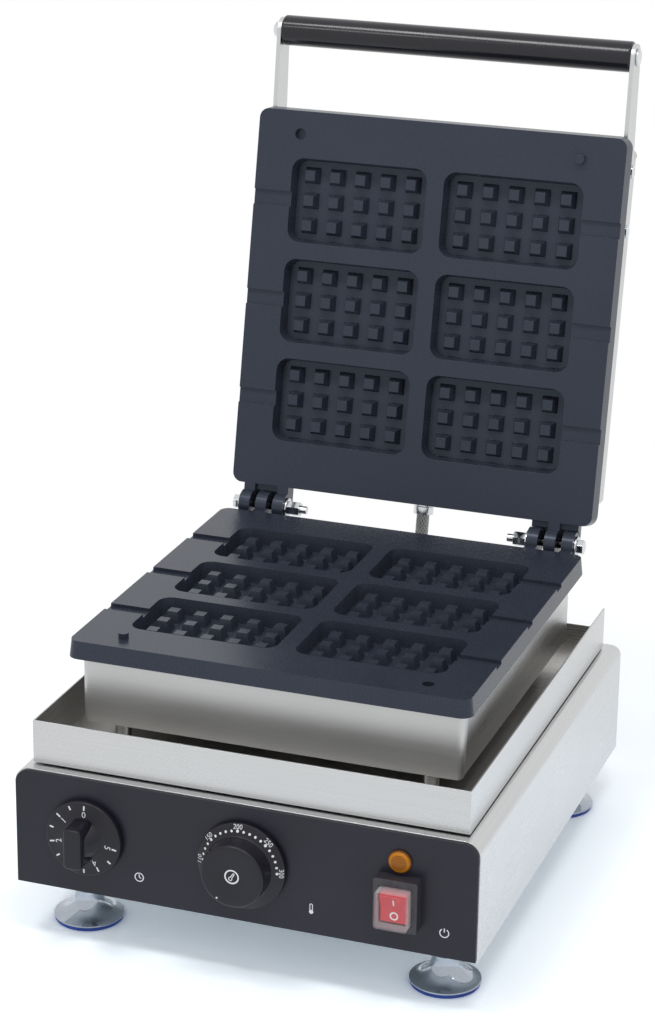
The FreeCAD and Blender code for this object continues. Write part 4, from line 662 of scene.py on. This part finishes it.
class Print:
    """Printed marks as flat surfaces: u runs to the right and v up, in millimetres."""

    @staticmethod
    def ribbon(path: np.ndarray, width: float) -> Skin:
        """Give a stroke: each point of a path, moved half the width to both sides of its direction."""
        along = np.gradient(path, axis=0)
        along /= np.linalg.norm(along, axis=1, keepdims=True)
        side = np.stack((-along[:, 1], along[:, 0]), -1) * width / 2
        points = np.stack((path + side, path - side), 1).reshape(-1, 2)
        return Skin(points, grid_faces(len(path), 2))

    @staticmethod
    def disc(centre: Pair, radius: float, steps: int = 16) -> Skin:
        """Give a round dot: circles from the middle to the radius, on a grid of radius and turn."""
        rings = [arc(centre, share * radius, 0, 360, steps + 1) for share in (0.0, 0.5, 1.0)]
        return Skin(np.concatenate(rings), grid_faces(len(rings), steps + 1)[:, ::-1])

    @staticmethod
    def lettering(text: str, height: float) -> Skin:
        """Give figures of a height, centred: Blender's own letter outlines, filled and made triangles.

        Args:
            text: the figures.
            height: the height of a figure.

        Returns:
            The filled outlines about the middle of their box.
        """
        curve = bpy.data.curves.new("figures", "FONT")
        curve.body = text
        curve.resolution_u = 3
        points, three = drawn(curve)
        flat = points[:, :2]
        low, high = flat.min(0), flat.max(0)
        sized = (flat - (low + high) / 2) * height / (high[1] - low[1])
        return Skin(sized, np.column_stack((three, three[:, 2])))

    @staticmethod
    def moved(mark: Skin, across: float, up: float, turn: float = 0.0) -> Skin:
        """Give a mark turned anticlockwise by degrees about its middle, then moved."""
        cosine, sine = math.cos(math.radians(turn)), math.sin(math.radians(turn))
        spin = np.array(((cosine, sine), (-sine, cosine)))
        return Skin(mark.points @ spin + (across, up), mark.faces)

    @staticmethod
    def outward(mark: Skin, radius: float, angle: float) -> Skin:
        """Give a mark set on a circle, with its top away from the middle."""
        across, up = radius * math.cos(math.radians(angle)), radius * math.sin(math.radians(angle))
        return Print.moved(mark, across, up, angle - 90)


@dataclass
class Dial:
    """A dial that turns on the control panel, with its print."""

    body: str
    joint: str

    @property
    def spot(self) -> np.ndarray:
        """The point of the panel that the dial turns about."""
        return pivot(self.joint)

    def laid(self, mark: Skin, profile: np.ndarray) -> Skin:
        """Lay flat marks on the dial's front.

        A point at u and v goes to the profile's height at its distance from the axis, plus the lift.

        Args:
            mark: marks about the dial's axis.
            profile: rows of radius and height, by growing radius.

        Returns:
            The marks in the model's frame.
        """
        reach = np.hypot(mark.points[:, 0], mark.points[:, 1])
        height = np.interp(reach, profile[:, 0], profile[:, 1]) + PRINT_LIFT
        points = np.column_stack((mark.points[:, 0], -height, mark.points[:, 1])) + self.spot
        return Skin(points, mark.faces)


@dataclass
class TimerDial(Dial):
    """The timer's knob: a round skirt with minute marks and a bar to turn it by."""

    body: str = "timer_dial"
    joint: str = "timer_turn"
    skirt_front: float = 4.8
    skirt_edge: float = 1.2
    back_edge: float = 0.3
    hub_edge: float = 0.5
    hub_flare: float = 0.8
    tick: Pair = (17.6, 20.4)
    half_tick: Pair = (18.1, 20.5)
    tick_width: float = 0.95
    figure_radius: float = 15.0
    figure_height: float = 3.6
    first_angle: float = 87.0
    minute_angle: float = 52.6
    minutes: int = 5
    back: float = 0.8
    skirt_radius: float = 22.4
    hub_radius: float = 11.0
    hub_top_radius: float = 7.0
    hub_front: float = 14.8
    bar_half: Pair = (5.75, 12.5)
    bar_front: float = 20.0
    bar_corner: float = 3.0
    bar_edge: float = 1.3
    bar_taper: float = 0.5

    def skirt(self) -> Skin:
        """Turn the skirt and the cone under the bar: back, round rim, flat face, cone and a level top."""
        front, edge, round_off = self.skirt_front, self.skirt_edge, self.hub_edge
        return lathe(np.concatenate((
            ((0.0, self.back), (self.skirt_radius - self.back_edge, self.back),
             (self.skirt_radius, self.back + self.back_edge)),
            arc((self.skirt_radius - edge, front - edge), edge, 0, 90, 7),
            ((self.hub_radius + self.hub_flare, front), (self.hub_radius, front + round_off),
             (self.hub_top_radius + round_off, self.hub_front - round_off),
             (self.hub_top_radius, self.hub_front), (0.0, self.hub_front)),
        )), 128)

    def bar(self) -> Skin:
        """Give the bar: a rounded rectangle that draws in with its height, rounds over and closes.

        At an inset d, a point of the plan is a corner's centre plus the corner radius less d, times cosine
        and sine of the turn. The inset grows up the wall and along a quarter circle at the front edge.
        """
        steps = 8
        quarters = np.repeat(((1, 1), (-1, 1), (-1, -1), (1, -1)), steps, axis=0)
        away = np.concatenate([arc((0, 0), 1.0, start, start + 90, steps) for start in (0, 90, 180, 270)])
        bend = np.radians(np.linspace(0, 90, 7))
        inset = np.concatenate(((0.0,), self.bar_taper + self.bar_edge * (1 - np.cos(bend))))
        height = np.concatenate(((self.back,), self.bar_front - self.bar_edge * (1 - np.sin(bend))))
        centre = quarters * (np.array(self.bar_half) - self.bar_corner)
        rings = centre + (self.bar_corner - inset)[:, None, None] * away
        closing = np.array((0.6, 0.0))[:, None, None] * rings[-1]
        plan = np.concatenate((0 * rings[:1], rings, closing))
        out = np.concatenate((height[:1], height, height[-1:], height[-1:]))
        level = np.broadcast_to(-out[:, None], plan.shape[:2])
        points = np.stack((plan[..., 0], level, plan[..., 1]), -1)
        return Skin(points.reshape(-1, 3), grid_faces(len(plan), len(away), True)).welded()

    def stroke(self, ends: Pair) -> Skin:
        """Give a tick that stands upright between two radii."""
        return Print.ribbon(np.array([(0.0, radius) for radius in ends]), self.tick_width)

    def build(self) -> None:
        """Make the knob and print its minutes, with a tick at each and between each two."""
        dress({"timer_shaft": ZINC})
        knob = joined([self.skirt(), self.bar()]).at(self.spot).make("timer_knob_moulded", KNOB)
        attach(knob, self.body)
        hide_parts("timer_knob")
        tick, half = self.stroke(self.tick), self.stroke(self.half_tick)
        marks = []
        for minute in range(self.minutes + 1):
            angle = self.first_angle + minute * self.minute_angle
            figure = Print.lettering(str(minute), self.figure_height)
            marks.append(Print.moved(tick, 0, 0, angle - 90))
            marks.append(Print.outward(figure, self.figure_radius, angle))
            if minute < self.minutes:
                marks.append(Print.moved(half, 0, 0, angle + self.minute_angle / 2 - 90))
        flat = np.array(((0.0, self.skirt_front), (self.skirt_radius, self.skirt_front)))
        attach(self.laid(joined(marks), flat).make("timer_print", INK), self.body)


@dataclass
class ThermostatDial(Dial):
    """The thermostat's knob: a sloping rim with degrees, and a tall dished cap."""

    body: str = "thermostat_dial"
    joint: str = "thermostat_turn"
    back: float = 0.8
    rim_radius: float = 25.5
    rim_front: float = 3.8
    cap_radius: float = 18.6
    cap_base: float = 6.3
    cap_front: float = 18.0
    cap_edge: float = 1.6
    cap_draft: float = 0.35
    cap_foot: tuple[Pair, ...] = ((0.8, -0.29), (0.15, 0.05), (0.0, 0.6))
    cap_shoulder: Pair = (0.1, 3.0)
    rim_edge: float = 0.6
    back_edge: float = 0.4
    dish_depth: float = 0.9
    dot_radius: float = 21.6
    dot_size: float = 0.72
    main_dot_share: float = 1.15
    pointer: Triple = (0.55, 16.0, 238.5)
    figure_radius: float = 23.8
    figure_height: float = 2.55
    hottest_angle: float = 0.0
    hottest: int = 300
    coolest: int = 110
    step_angle: float = 9.35
    ring_radius: float = 3.8
    stroke: float = 0.85

    def profile(self) -> np.ndarray:
        """Give the outline's radius and height: back, rim, slope, wall, edge and a cosine's dish."""
        edge, side, top = self.cap_edge, self.cap_radius - self.cap_draft, self.cap_front
        outer, bend, back = self.rim_radius, self.rim_edge, self.back_edge
        dish_radius = side - edge
        reach = np.linspace(dish_radius, 0, 24)
        dish = top - self.dish_depth * (1 + np.cos(math.pi * reach / dish_radius)) / 2
        return np.concatenate((
            ((0.0, self.back), (outer - back, self.back), (outer, self.back + back)),
            arc((outer - bend, self.rim_front - bend), bend, 0, 70, 5),
            np.array(self.cap_foot) + (self.cap_radius, self.cap_base),
            ((side + self.cap_shoulder[0], top - self.cap_shoulder[1]),),
            arc((dish_radius, top - edge), edge, 0, 90, 8),
            np.column_stack((reach, dish))[1:],
        ))

    def build(self) -> None:
        """Turn the knob, print its degrees and its sign, and dress the shaft."""
        dress({"thermostat_shaft": ZINC})
        outline = self.profile()
        knob = lathe(outline, 128).at(self.spot).make("thermostat_knob_turned", KNOB)
        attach(knob, self.body)
        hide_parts("thermostat_knob")
        front = outline[np.argmax(outline[:, 0]):][::-1]
        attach(self.laid(self.degrees(), front).make("thermostat_print", INK), self.body)

    def degrees(self) -> Skin:
        """Give dots each ten degrees, figures each fifty and at the coolest, and the cap's sign and dot."""
        size, reach, angle = self.pointer
        marks = [self.sign(), Print.outward(Print.disc((0, 0), size), reach, angle)]
        for degree in range(self.coolest, self.hottest + 1, 10):
            angle = self.hottest_angle + (self.hottest - degree) / 10 * self.step_angle
            size = self.dot_size * (self.main_dot_share if degree % 50 == 0 else 1.0)
            marks.append(Print.outward(Print.disc((0, 0), size), self.dot_radius, angle))
            if degree % 50 == 0 or degree == self.coolest:
                figures = Print.lettering(str(degree), self.figure_height)
                marks.append(Print.outward(figures, self.figure_radius, angle))
        return joined(marks)

    def sign(self) -> Skin:
        """Give a ring round a small thermometer that leans right: a bulb, and a stem with a round end."""
        stem = np.concatenate((arc((0, -1.5), 0.95, 118, 422, 20), arc((0, 1.9), 0.45, 0, 180, 9),
                               arc((0, -1.5), 0.95, 118, 122, 2)))
        ring = Print.ribbon(arc((0, 0), self.ring_radius, 0, 360, 49), self.stroke)
        return joined([ring, Print.moved(Print.ribbon(stem, 0.5), 0, 0, -32)])


@dataclass
class LampLens:
    """The heating lamp's amber lens: a flat flange under a low dome."""

    flange_radius: float = 6.7
    flange_front: float = 1.5
    flange_edge: float = 0.6
    dome_radius: float = 5.6
    dome_base: float = 1.9
    dome_front: float = 3.8
    dome_edge: float = 0.2
    dome_wall: float = 0.5
    dome_foot: float = 0.3

    def build(self) -> None:
        """Turn the lens: flange, step and a dome that falls with the square of the radius."""
        reach = np.linspace(self.dome_radius - self.dome_edge, 0, 16)
        fall = self.dome_front - self.dome_base - self.dome_wall
        dome = self.dome_front - fall * (reach / self.dome_radius) ** 2
        edge = self.flange_edge
        skin = lathe(np.concatenate((
            ((0.0, 0.0), (self.flange_radius, 0.0)),
            arc((self.flange_radius - edge, self.flange_front - edge), edge, 0, 90, 6),
            ((self.dome_radius, self.dome_base - self.dome_foot),
             (self.dome_radius, self.dome_base + self.dome_edge)),
            np.column_stack((reach, dome)),
        )), 64)
        low, high = corners("lamp_lens")
        spot = np.array(((low[0] + high[0]) / 2, PANEL_Y, (low[2] + high[2]) / 2))
        lens = skin.at(spot).make("lamp_lens_turned", AMBER)
        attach(lens, "base")
        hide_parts("lamp_lens")


@dataclass
class RockerSwitch:
    """The mains switch: a black frame, a red rocker with its on and off marks, and a clear cover."""

    joint: str = "rocker_tilt"
    valley: float = 6.1
    rise: float = 1.4
    half_height: float = 8.2
    tilt: float = 10.0
    mark_up: float = 4.3
    mark_size: float = 2.0
    stroke: float = 0.8

    def build(self) -> None:
        """Dress the switch and print the rocker's two marks."""
        dress({"switch_body": BEZEL, "switch_rocker": ROCKER}, EdgeBreak(0.4))
        dress({"switch_cover": COVER}, FINE_EDGE)
        ends = (self.mark_up - self.mark_size, self.mark_up + self.mark_size)
        bar = Print.ribbon(np.array([(0.0, end) for end in ends]), self.stroke)
        ring = Print.ribbon(arc((0.0, -self.mark_up), self.mark_size, 0, 360, 33), self.stroke)
        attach(self.laid(joined([bar, ring])).make("rocker_print", INK), "rocker")

    def laid(self, mark: Skin) -> Skin:
        """Lay marks on the rocker: out by the valley and a rise that grows with v, then tilted."""
        across, up = mark.points.T
        out = self.valley + self.rise * np.abs(up) / self.half_height + PRINT_LIFT
        cosine, sine = math.cos(math.radians(self.tilt)), math.sin(math.radians(self.tilt))
        points = np.column_stack((across, -up * sine - out * cosine, up * cosine - out * sine))
        return Skin(points + pivot(self.joint), mark.faces)


@dataclass
class Casing:
    """The base: folded casing, bottom pan, control panel and feet."""

    clock: Pair = (-60.0, 50.3)
    thermometer: Pair = (41.0, 50.0)
    power: Pair = (116.5, 49.6)
    sign_radius: float = 2.5
    stroke: float = 0.6

    def build(self) -> None:
        """Dress the casing, its inside and its feet, and print the panel's signs."""
        dress({"base_shell": STEEL, "front_sheet": STEEL, "wire_duct": STEEL}, SHEET_EDGE)
        dress({"bottom_pan": LIT_PAN_STEEL, "panel_fascia": FASCIA}, FINE_EDGE)
        dress({"feet": FOOT_PLATING, "foot_pads": PAD}, SHEET_EDGE)
        dress({"foot_screws": ZINC, "foot_nuts": ZINC, "mains_inlet": BEZEL, "terminal_block": CERAMIC,
               "timer_body": CASE, "thermostat_body": CASE}, FINE_EDGE)
        dress({"thermostat_capillary": COPPER, "thermostat_bulb": COPPER})
        dress({"lamp_barrel": BEZEL, "lamp_nut": ZINC}, FINE_EDGE)
        signs = joined([Print.moved(sign, *spot) for sign, spot in
                        ((self.clock_sign(), self.clock), (self.heat_sign(), self.thermometer),
                         (self.power_sign(), self.power))])
        across, up = signs.points.T
        points = np.column_stack((across, np.full(len(across), PANEL_Y - PRINT_LIFT), up))
        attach(Skin(points, signs.faces).make("panel_print", INK), "base")

    def clock_sign(self) -> Skin:
        """Give a ring with two hands."""
        hands = np.array(((0.0, 1.7), (0.0, 0.0), (1.2, -0.6)))
        return joined([Print.ribbon(arc((0, 0), self.sign_radius, 0, 360, 41), self.stroke),
                       Print.ribbon(hands[:2], self.stroke), Print.ribbon(hands[1:], self.stroke)])

    def heat_sign(self) -> Skin:
        """Give a thermometer: a filled bulb under an outlined stem with a round top."""
        stem = np.concatenate((((-0.75, -1.2),), arc((0, 2.1), 0.75, 180, 0, 13), ((0.75, -1.2),)))
        return joined([Print.ribbon(stem, 0.45), Print.disc((0, -1.9), 1.25, 24)])

    def power_sign(self) -> Skin:
        """Give a ring that is open at the top, with a bar in the gap."""
        bar = np.array(((0.0, 0.4), (0.0, 2.9)))
        return joined([Print.ribbon(arc((0, 0), self.sign_radius, 122, 418, 33), self.stroke),
                       Print.ribbon(bar, self.stroke)])


@dataclass
class TrayAndPosts:
    """The drip tray, and the posts and rods that carry the lower plate over it."""

    def build(self) -> None:
        """Dress the tray and what stands in it."""
        dress({"drip_tray": TRAY_STEEL}, SHEET_EDGE)
        dress({"tray_spacers": ZINC, "housing_posts": STEEL, "tie_rods": ZINC, "tie_nuts": ZINC}, FINE_EDGE)


@dataclass
class Plates:
    """The two cast plates with their heaters, clamps and hinge."""

    def build(self) -> None:
        """Dress the plates and the parts behind them."""
        dress({"lower_plate": COAT, "upper_plate": COAT}, CAST_EDGE)
        dress({"lower_heater": SHEATH, "upper_heater": SHEATH})
        dress({name: ZINC for name in ("lower_clamp_bars", "lower_clamp_screws", "upper_clamp_bars",
                                       "upper_clamp_screws", "cover_rods", "cover_nuts")}, FINE_EDGE)
        dress({"hinge_bolts": SHADED_BOLT, "hinge_nuts": CHROME, "hinge_washers": CHROME}, FINE_EDGE)


class Side(Enum):
    """The body that a heater housing rides on, with the way from the plates' own frame to the model's.

    The lid's plate is the lower one turned half round the Y axis and opened about the hinge.
    """

    BASE = "base"
    LID = "lid"

    def matrix(self) -> np.ndarray:
        """Give three rows of four that carry points about the hinge to their place."""
        spin = Matrix.Identity(3)
        if self is Side.LID:
            spin = Matrix.Rotation(math.radians(-LID_ANGLE), 3, "X") @ Matrix.Rotation(math.pi, 3, "Y")
        return np.column_stack((np.array(spin), HINGE))


@dataclass
class HeaterHousing:
    """A sheet box behind a plate, with a front sheet that laps round both front corners."""

    side: Side
    node: str
    gland: str
    corner: float = 3.5
    laps: Pair = (4.3, 10.5)
    sheet: float = 0.6
    lap_edge: float = 0.15

    def build(self) -> None:
        """Dress the box and its gland, and lay the front sheet over it."""
        dress({self.node: HOUSING_STEEL}, SHEET_EDGE)
        dress({self.gland: CHROME}, FINE_EDGE)
        wrap = self.wrap().turned(self.side.matrix()).make(self.node + "_front_lap", LAP_STEEL)
        edge = wrap.modifiers.new("edges", "BEVEL")
        edge.width = self.lap_edge * METRE
        edge.segments = 2
        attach(wrap, self.side.value)

    @staticmethod
    def walls() -> tuple[np.ndarray, np.ndarray]:
        """Give the lower housing's corners from the hinge, which both share in the plates' own frame."""
        low, high = corners("lower_housing")
        return low - HINGE, high - HINGE

    def plan(self, out: float, lap: float) -> np.ndarray:
        """Give the front sheet's line seen from above: lap, corner, front, corner, lap.

        Args:
            out: the distance out from the box.
            lap: how far each end lies behind the box's front.

        Returns:
            Rows of X and Y from the hinge.
        """
        low, high = self.walls()
        side, front, bend = high[0] + out, low[1] - out, self.corner + out
        tail = low[1] + lap
        left = arc((bend - side, front + bend), bend, 180, 270, 9)
        right = arc((side - bend, front + bend), bend, 270, 360, 9)
        return np.concatenate((((-side, tail),), left, right, ((side, tail),)))

    def wrap(self) -> Skin:
        """Give the sheet: outer and inner line at the low and high edge, joined round, with both ends."""
        low, high = ((lap, corner[2]) for lap, corner in zip(self.laps, self.walls()))
        ring = []
        for out, (lap, height) in ((self.sheet, low), (0.0, low), (0.0, high), (self.sheet, high)):
            line = self.plan(out, lap)
            ring.append(np.column_stack((line, np.full(len(line), height))))
        count = len(ring[0])
        points = np.stack(ring, 1).reshape(-1, 3)
        last = 4 * (count - 1)
        ends = np.array(((3, 2, 1, 0), (last, last + 1, last + 2, last + 3)))
        return Skin(points, np.concatenate((grid_faces(count, 4, True)[:, ::-1], ends[:, ::-1])))


@dataclass
class Handle:
    """Two steel arms on the lid with a black grip between them."""

    def build(self) -> None:
        """Dress the handle."""
        dress({"handle_arm_left": ARM_STEEL, "handle_arm_right": ARM_STEEL}, FINE_EDGE)
        dress({"arm_screws": CHROME, "handle_cap_nuts": CHROME, "handle_rod": ZINC}, FINE_EDGE)
        dress({"handle_grip": GRIP}, EdgeBreak(0.6))


@dataclass
class LidLead:
    """The sleeved lead that goes from the lower housing's gland up into the lid's."""

    radius: float = 4.0
    ring_steps: int = 24

    def route(self) -> np.ndarray:
        """Give the route's points: both glands' roots and tips, and where the straight ends meet."""
        first, last = (corner - HINGE for corner in corners("lower_gland"))
        drop = (first[2] + last[2]) / 2
        ends = np.array(((0.0, first[1], drop), (0.0, last[1], drop)))
        low = Skin(ends, np.empty((0, 4), int)).turned(Side.BASE.matrix()).points
        high = Skin(ends, np.empty((0, 4), int)).turned(Side.LID.matrix()).points
        out, down = low[1] - low[0], high[1] - high[0]
        reach = np.linalg.solve(np.column_stack((out[1:], -down[1:])), (high[1] - low[1])[1:])[0]
        return np.stack((low[0], low[1], low[1] + reach * out, high[1], high[0]))

    def line(self) -> np.ndarray:
        """Give points along the route's smooth spline, in millimetres."""
        curve = bpy.data.curves.new("lead_route", "CURVE")
        curve.dimensions = "3D"
        spline = curve.splines.new("NURBS")
        route = self.route()
        spline.points.add(len(route) - 1)
        spline.points.foreach_set("co", np.column_stack((route, np.ones(len(route)))).ravel())
        spline.order_u = 3
        spline.use_endpoint_u = True
        spline.resolution_u = 16
        return drawn(curve)[0]

    def build(self) -> None:
        """Sweep the sleeve along its line, with its own UV map.

        A point of the line, moved out by the radius times the cosine of a turn along X and its sine along
        the line's normal, is on the sleeve.
        """
        line = self.line()
        along = np.gradient(line, axis=0)
        along /= np.linalg.norm(along, axis=1, keepdims=True)
        across = np.array((1.0, 0.0, 0.0))
        normal = np.cross(along, across)
        turn = np.linspace(0, math.tau, self.ring_steps, endpoint=False)
        size = np.concatenate(((0.0,), np.full(len(line), self.radius), (0.0,)))
        rows = np.concatenate(((0,), np.arange(len(line)), (len(line) - 1,)))
        ring = np.cos(turn)[None, :, None] * across + np.sin(turn)[None, :, None] * normal[rows][:, None, :]
        points = line[rows][:, None, :] + size[:, None, None] * ring
        skin = Skin(points.reshape(-1, 3), grid_faces(len(rows), self.ring_steps, True))
        lead = skin.make("lead_sleeve", SLEEVE)
        self.map_sleeve(lead.data, np.linspace(0, 1, len(rows)))
        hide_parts("lid_lead")
        route = self.route() * METRE
        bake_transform(lead)

    def map_sleeve(self, mesh: bpy.types.Mesh, share: np.ndarray) -> None:
        """Give the sleeve's UV map: U is the turn, V the share of the length.

        Args:
            mesh: the sleeve, with its faces in the grid's order.
            share: each row's share of the length.
        """
        layer = mesh.uv_layers.new(name="sleeve")
        column = np.arange(self.ring_steps) / self.ring_steps
        step = 1 / self.ring_steps
        low, high = share[:-1, None] + 0 * column, share[1:, None] + 0 * column
        turn = column[None, :] + 0 * low
        places = np.stack((turn, low, turn + step, low, turn + step, high, turn, high), -1)
        layer.data.foreach_set("uv", places.reshape(-1).astype(np.float32))


@dataclass(frozen=True)
class Softbox:
    """A rectangular soft lamp turned to the object: place and size in metres, and power in watts."""

    spot: Triple
    size: Pair
    power: float

    def hang(self) -> None:
        """Put the lamp in the scene."""
        data = bpy.data.lights.new("softbox", "AREA")
        data.shape = "RECTANGLE"
        data.size, data.size_y = self.size
        data.energy = self.power
        lamp = bpy.data.objects.new("softbox", data)
        bpy.context.scene.collection.objects.link(lamp)
        spot = Vector(self.spot)
        lamp.matrix_world = Matrix.Translation(spot) @ (-spot).to_track_quat("-Z", "Y").to_matrix().to_4x4()


@dataclass
class Studio:
    """A pale floor, soft light all round and the camera."""

    lens: float = 101.264
    sensor: float = 36.0
    spot: Triple = (0.507847, -1.487267, 0.780694)
    right: Triple = (0.94146, 0.336874, 0.012641)
    down: Triple = (0.125726, -0.316063, -0.940371)
    forward: Triple = (-0.31279, 0.886912, -0.33992)
    ambient: float = 0.62
    lamps: tuple[Softbox, ...] = (
        Softbox((-0.55, -0.8, 2.3), (0.7, 0.4), 10.0),
        Softbox((0.62, -0.8, 2.3), (0.7, 0.4), 10.0),
        Softbox((-0.8, -1.51, 1.83), (0.24, 0.24), 1.2),
        Softbox((1.57, -0.67, 1.83), (0.24, 0.24), 1.2),
    )
    floor_radius: float = 6.0
    floor_colour: Colour = shown(246, 249, 252)
    floor_seen: Colour = (1.3, 1.37, 1.44, 1.0)
    floor_white: Pair = (0.21, 0.5)

    def build(self) -> None:
        """Set the camera, the floor and the light."""
        bpy.context.scene.view_settings.view_transform = "Standard"
        self.set_camera()
        self.lay_floor()
        self.light_room()

    def set_camera(self) -> None:
        """Put the camera at its place, with its axes as columns of its matrix."""
        data = bpy.data.cameras.new("camera")
        data.lens = self.lens
        data.sensor_width = self.sensor
        camera = bpy.data.objects.new("camera", data)
        bpy.context.scene.collection.objects.link(camera)
        turn = Matrix((self.right, [-x for x in self.down], [-x for x in self.forward])).transposed()
        camera.matrix_world = Matrix.Translation(self.spot) @ turn.to_4x4()
        bpy.context.scene.camera = camera

    def lay_floor(self) -> None:
        """Lay a round floor: a grid of radius and turn."""
        steps = 65
        circle = arc((0, 0), self.floor_radius / METRE, 0, 360, steps)
        rings = np.concatenate((0 * circle, circle))
        points = np.column_stack((rings, np.zeros(len(rings))))
        floor = Skin(points, grid_faces(2, steps)[:, ::-1]).welded()
        floor.piece("floor", self.floor_paint())

    @staticmethod
    def seen(graph: Graph) -> Socket:
        """Give 1 for rays from the camera or a mirror or through glass, and 0 for the rest."""
        path = graph.add("ShaderNodeLightPath", {})
        mirror = graph.maths("MAXIMUM", path.outputs["Is Camera Ray"], path.outputs["Is Glossy Ray"])
        return graph.maths("MAXIMUM", mirror, path.outputs["Is Transmission Ray"])

    def floor_paint(self) -> bpy.types.Material:
        """Give the floor's material: pale matt paint that keeps the object's shadow, then white."""
        paint = bpy.data.materials.new("floor_paint")
        paint.use_nodes = True
        graph = Graph(paint.node_tree)
        out = next(node for node in paint.node_tree.nodes if node.type == "OUTPUT_MATERIAL")
        seen = self.seen(graph)
        colour = graph.mix(seen, self.floor_colour, self.floor_seen)
        matt = graph.add("ShaderNodeBsdfDiffuse", {"Color": colour})
        reach = graph.add("ShaderNodeVectorMath", {0: graph.place()}, operation="LENGTH").outputs["Value"]
        far = graph.maths("MULTIPLY", seen, graph.span(reach, *self.floor_white, 0.0, 1.0))
        white = graph.add("ShaderNodeEmission", {"Color": (1.0, 1.0, 1.0, 1.0), "Strength": 1.0})
        both = graph.add("ShaderNodeMixShader", {0: far, 1: matt.outputs[0], 2: white.outputs[0]})
        graph.feed(out, {"Surface": both.outputs[0]})
        return paint

    def light_room(self) -> None:
        """Make the world white where it is seen and softer where it lights, and hang the lamps."""
        world = bpy.data.worlds.new("room")
        bpy.context.scene.world = world
        world.use_nodes = True
        graph = Graph(world.node_tree)
        background = next(node for node in world.node_tree.nodes if node.type == "BACKGROUND")
        graph.feed(background, {"Color": (1.0, 1.0, 1.0, 1.0),
                                "Strength": graph.span(self.seen(graph), 0.0, 1.0, self.ambient, 1.0)})
        for lamp in self.lamps:
            lamp.hang()


def main() -> None:
    """Build the studio and then each sub-assembly."""
    logging.basicConfig(level=logging.INFO, format="%(name)s: %(message)s")
    for part in (Studio(), LidLead(), Casing(), TrayAndPosts(), Plates(),
                 HeaterHousing(Side.BASE, "lower_housing", "lower_gland"),
                 HeaterHousing(Side.LID, "upper_cover", "upper_gland"),
                 Handle(), TimerDial(), ThermostatDial(), LampLens(), RockerSwitch()):
        part.build()


if __name__ == "__main__":
    main()
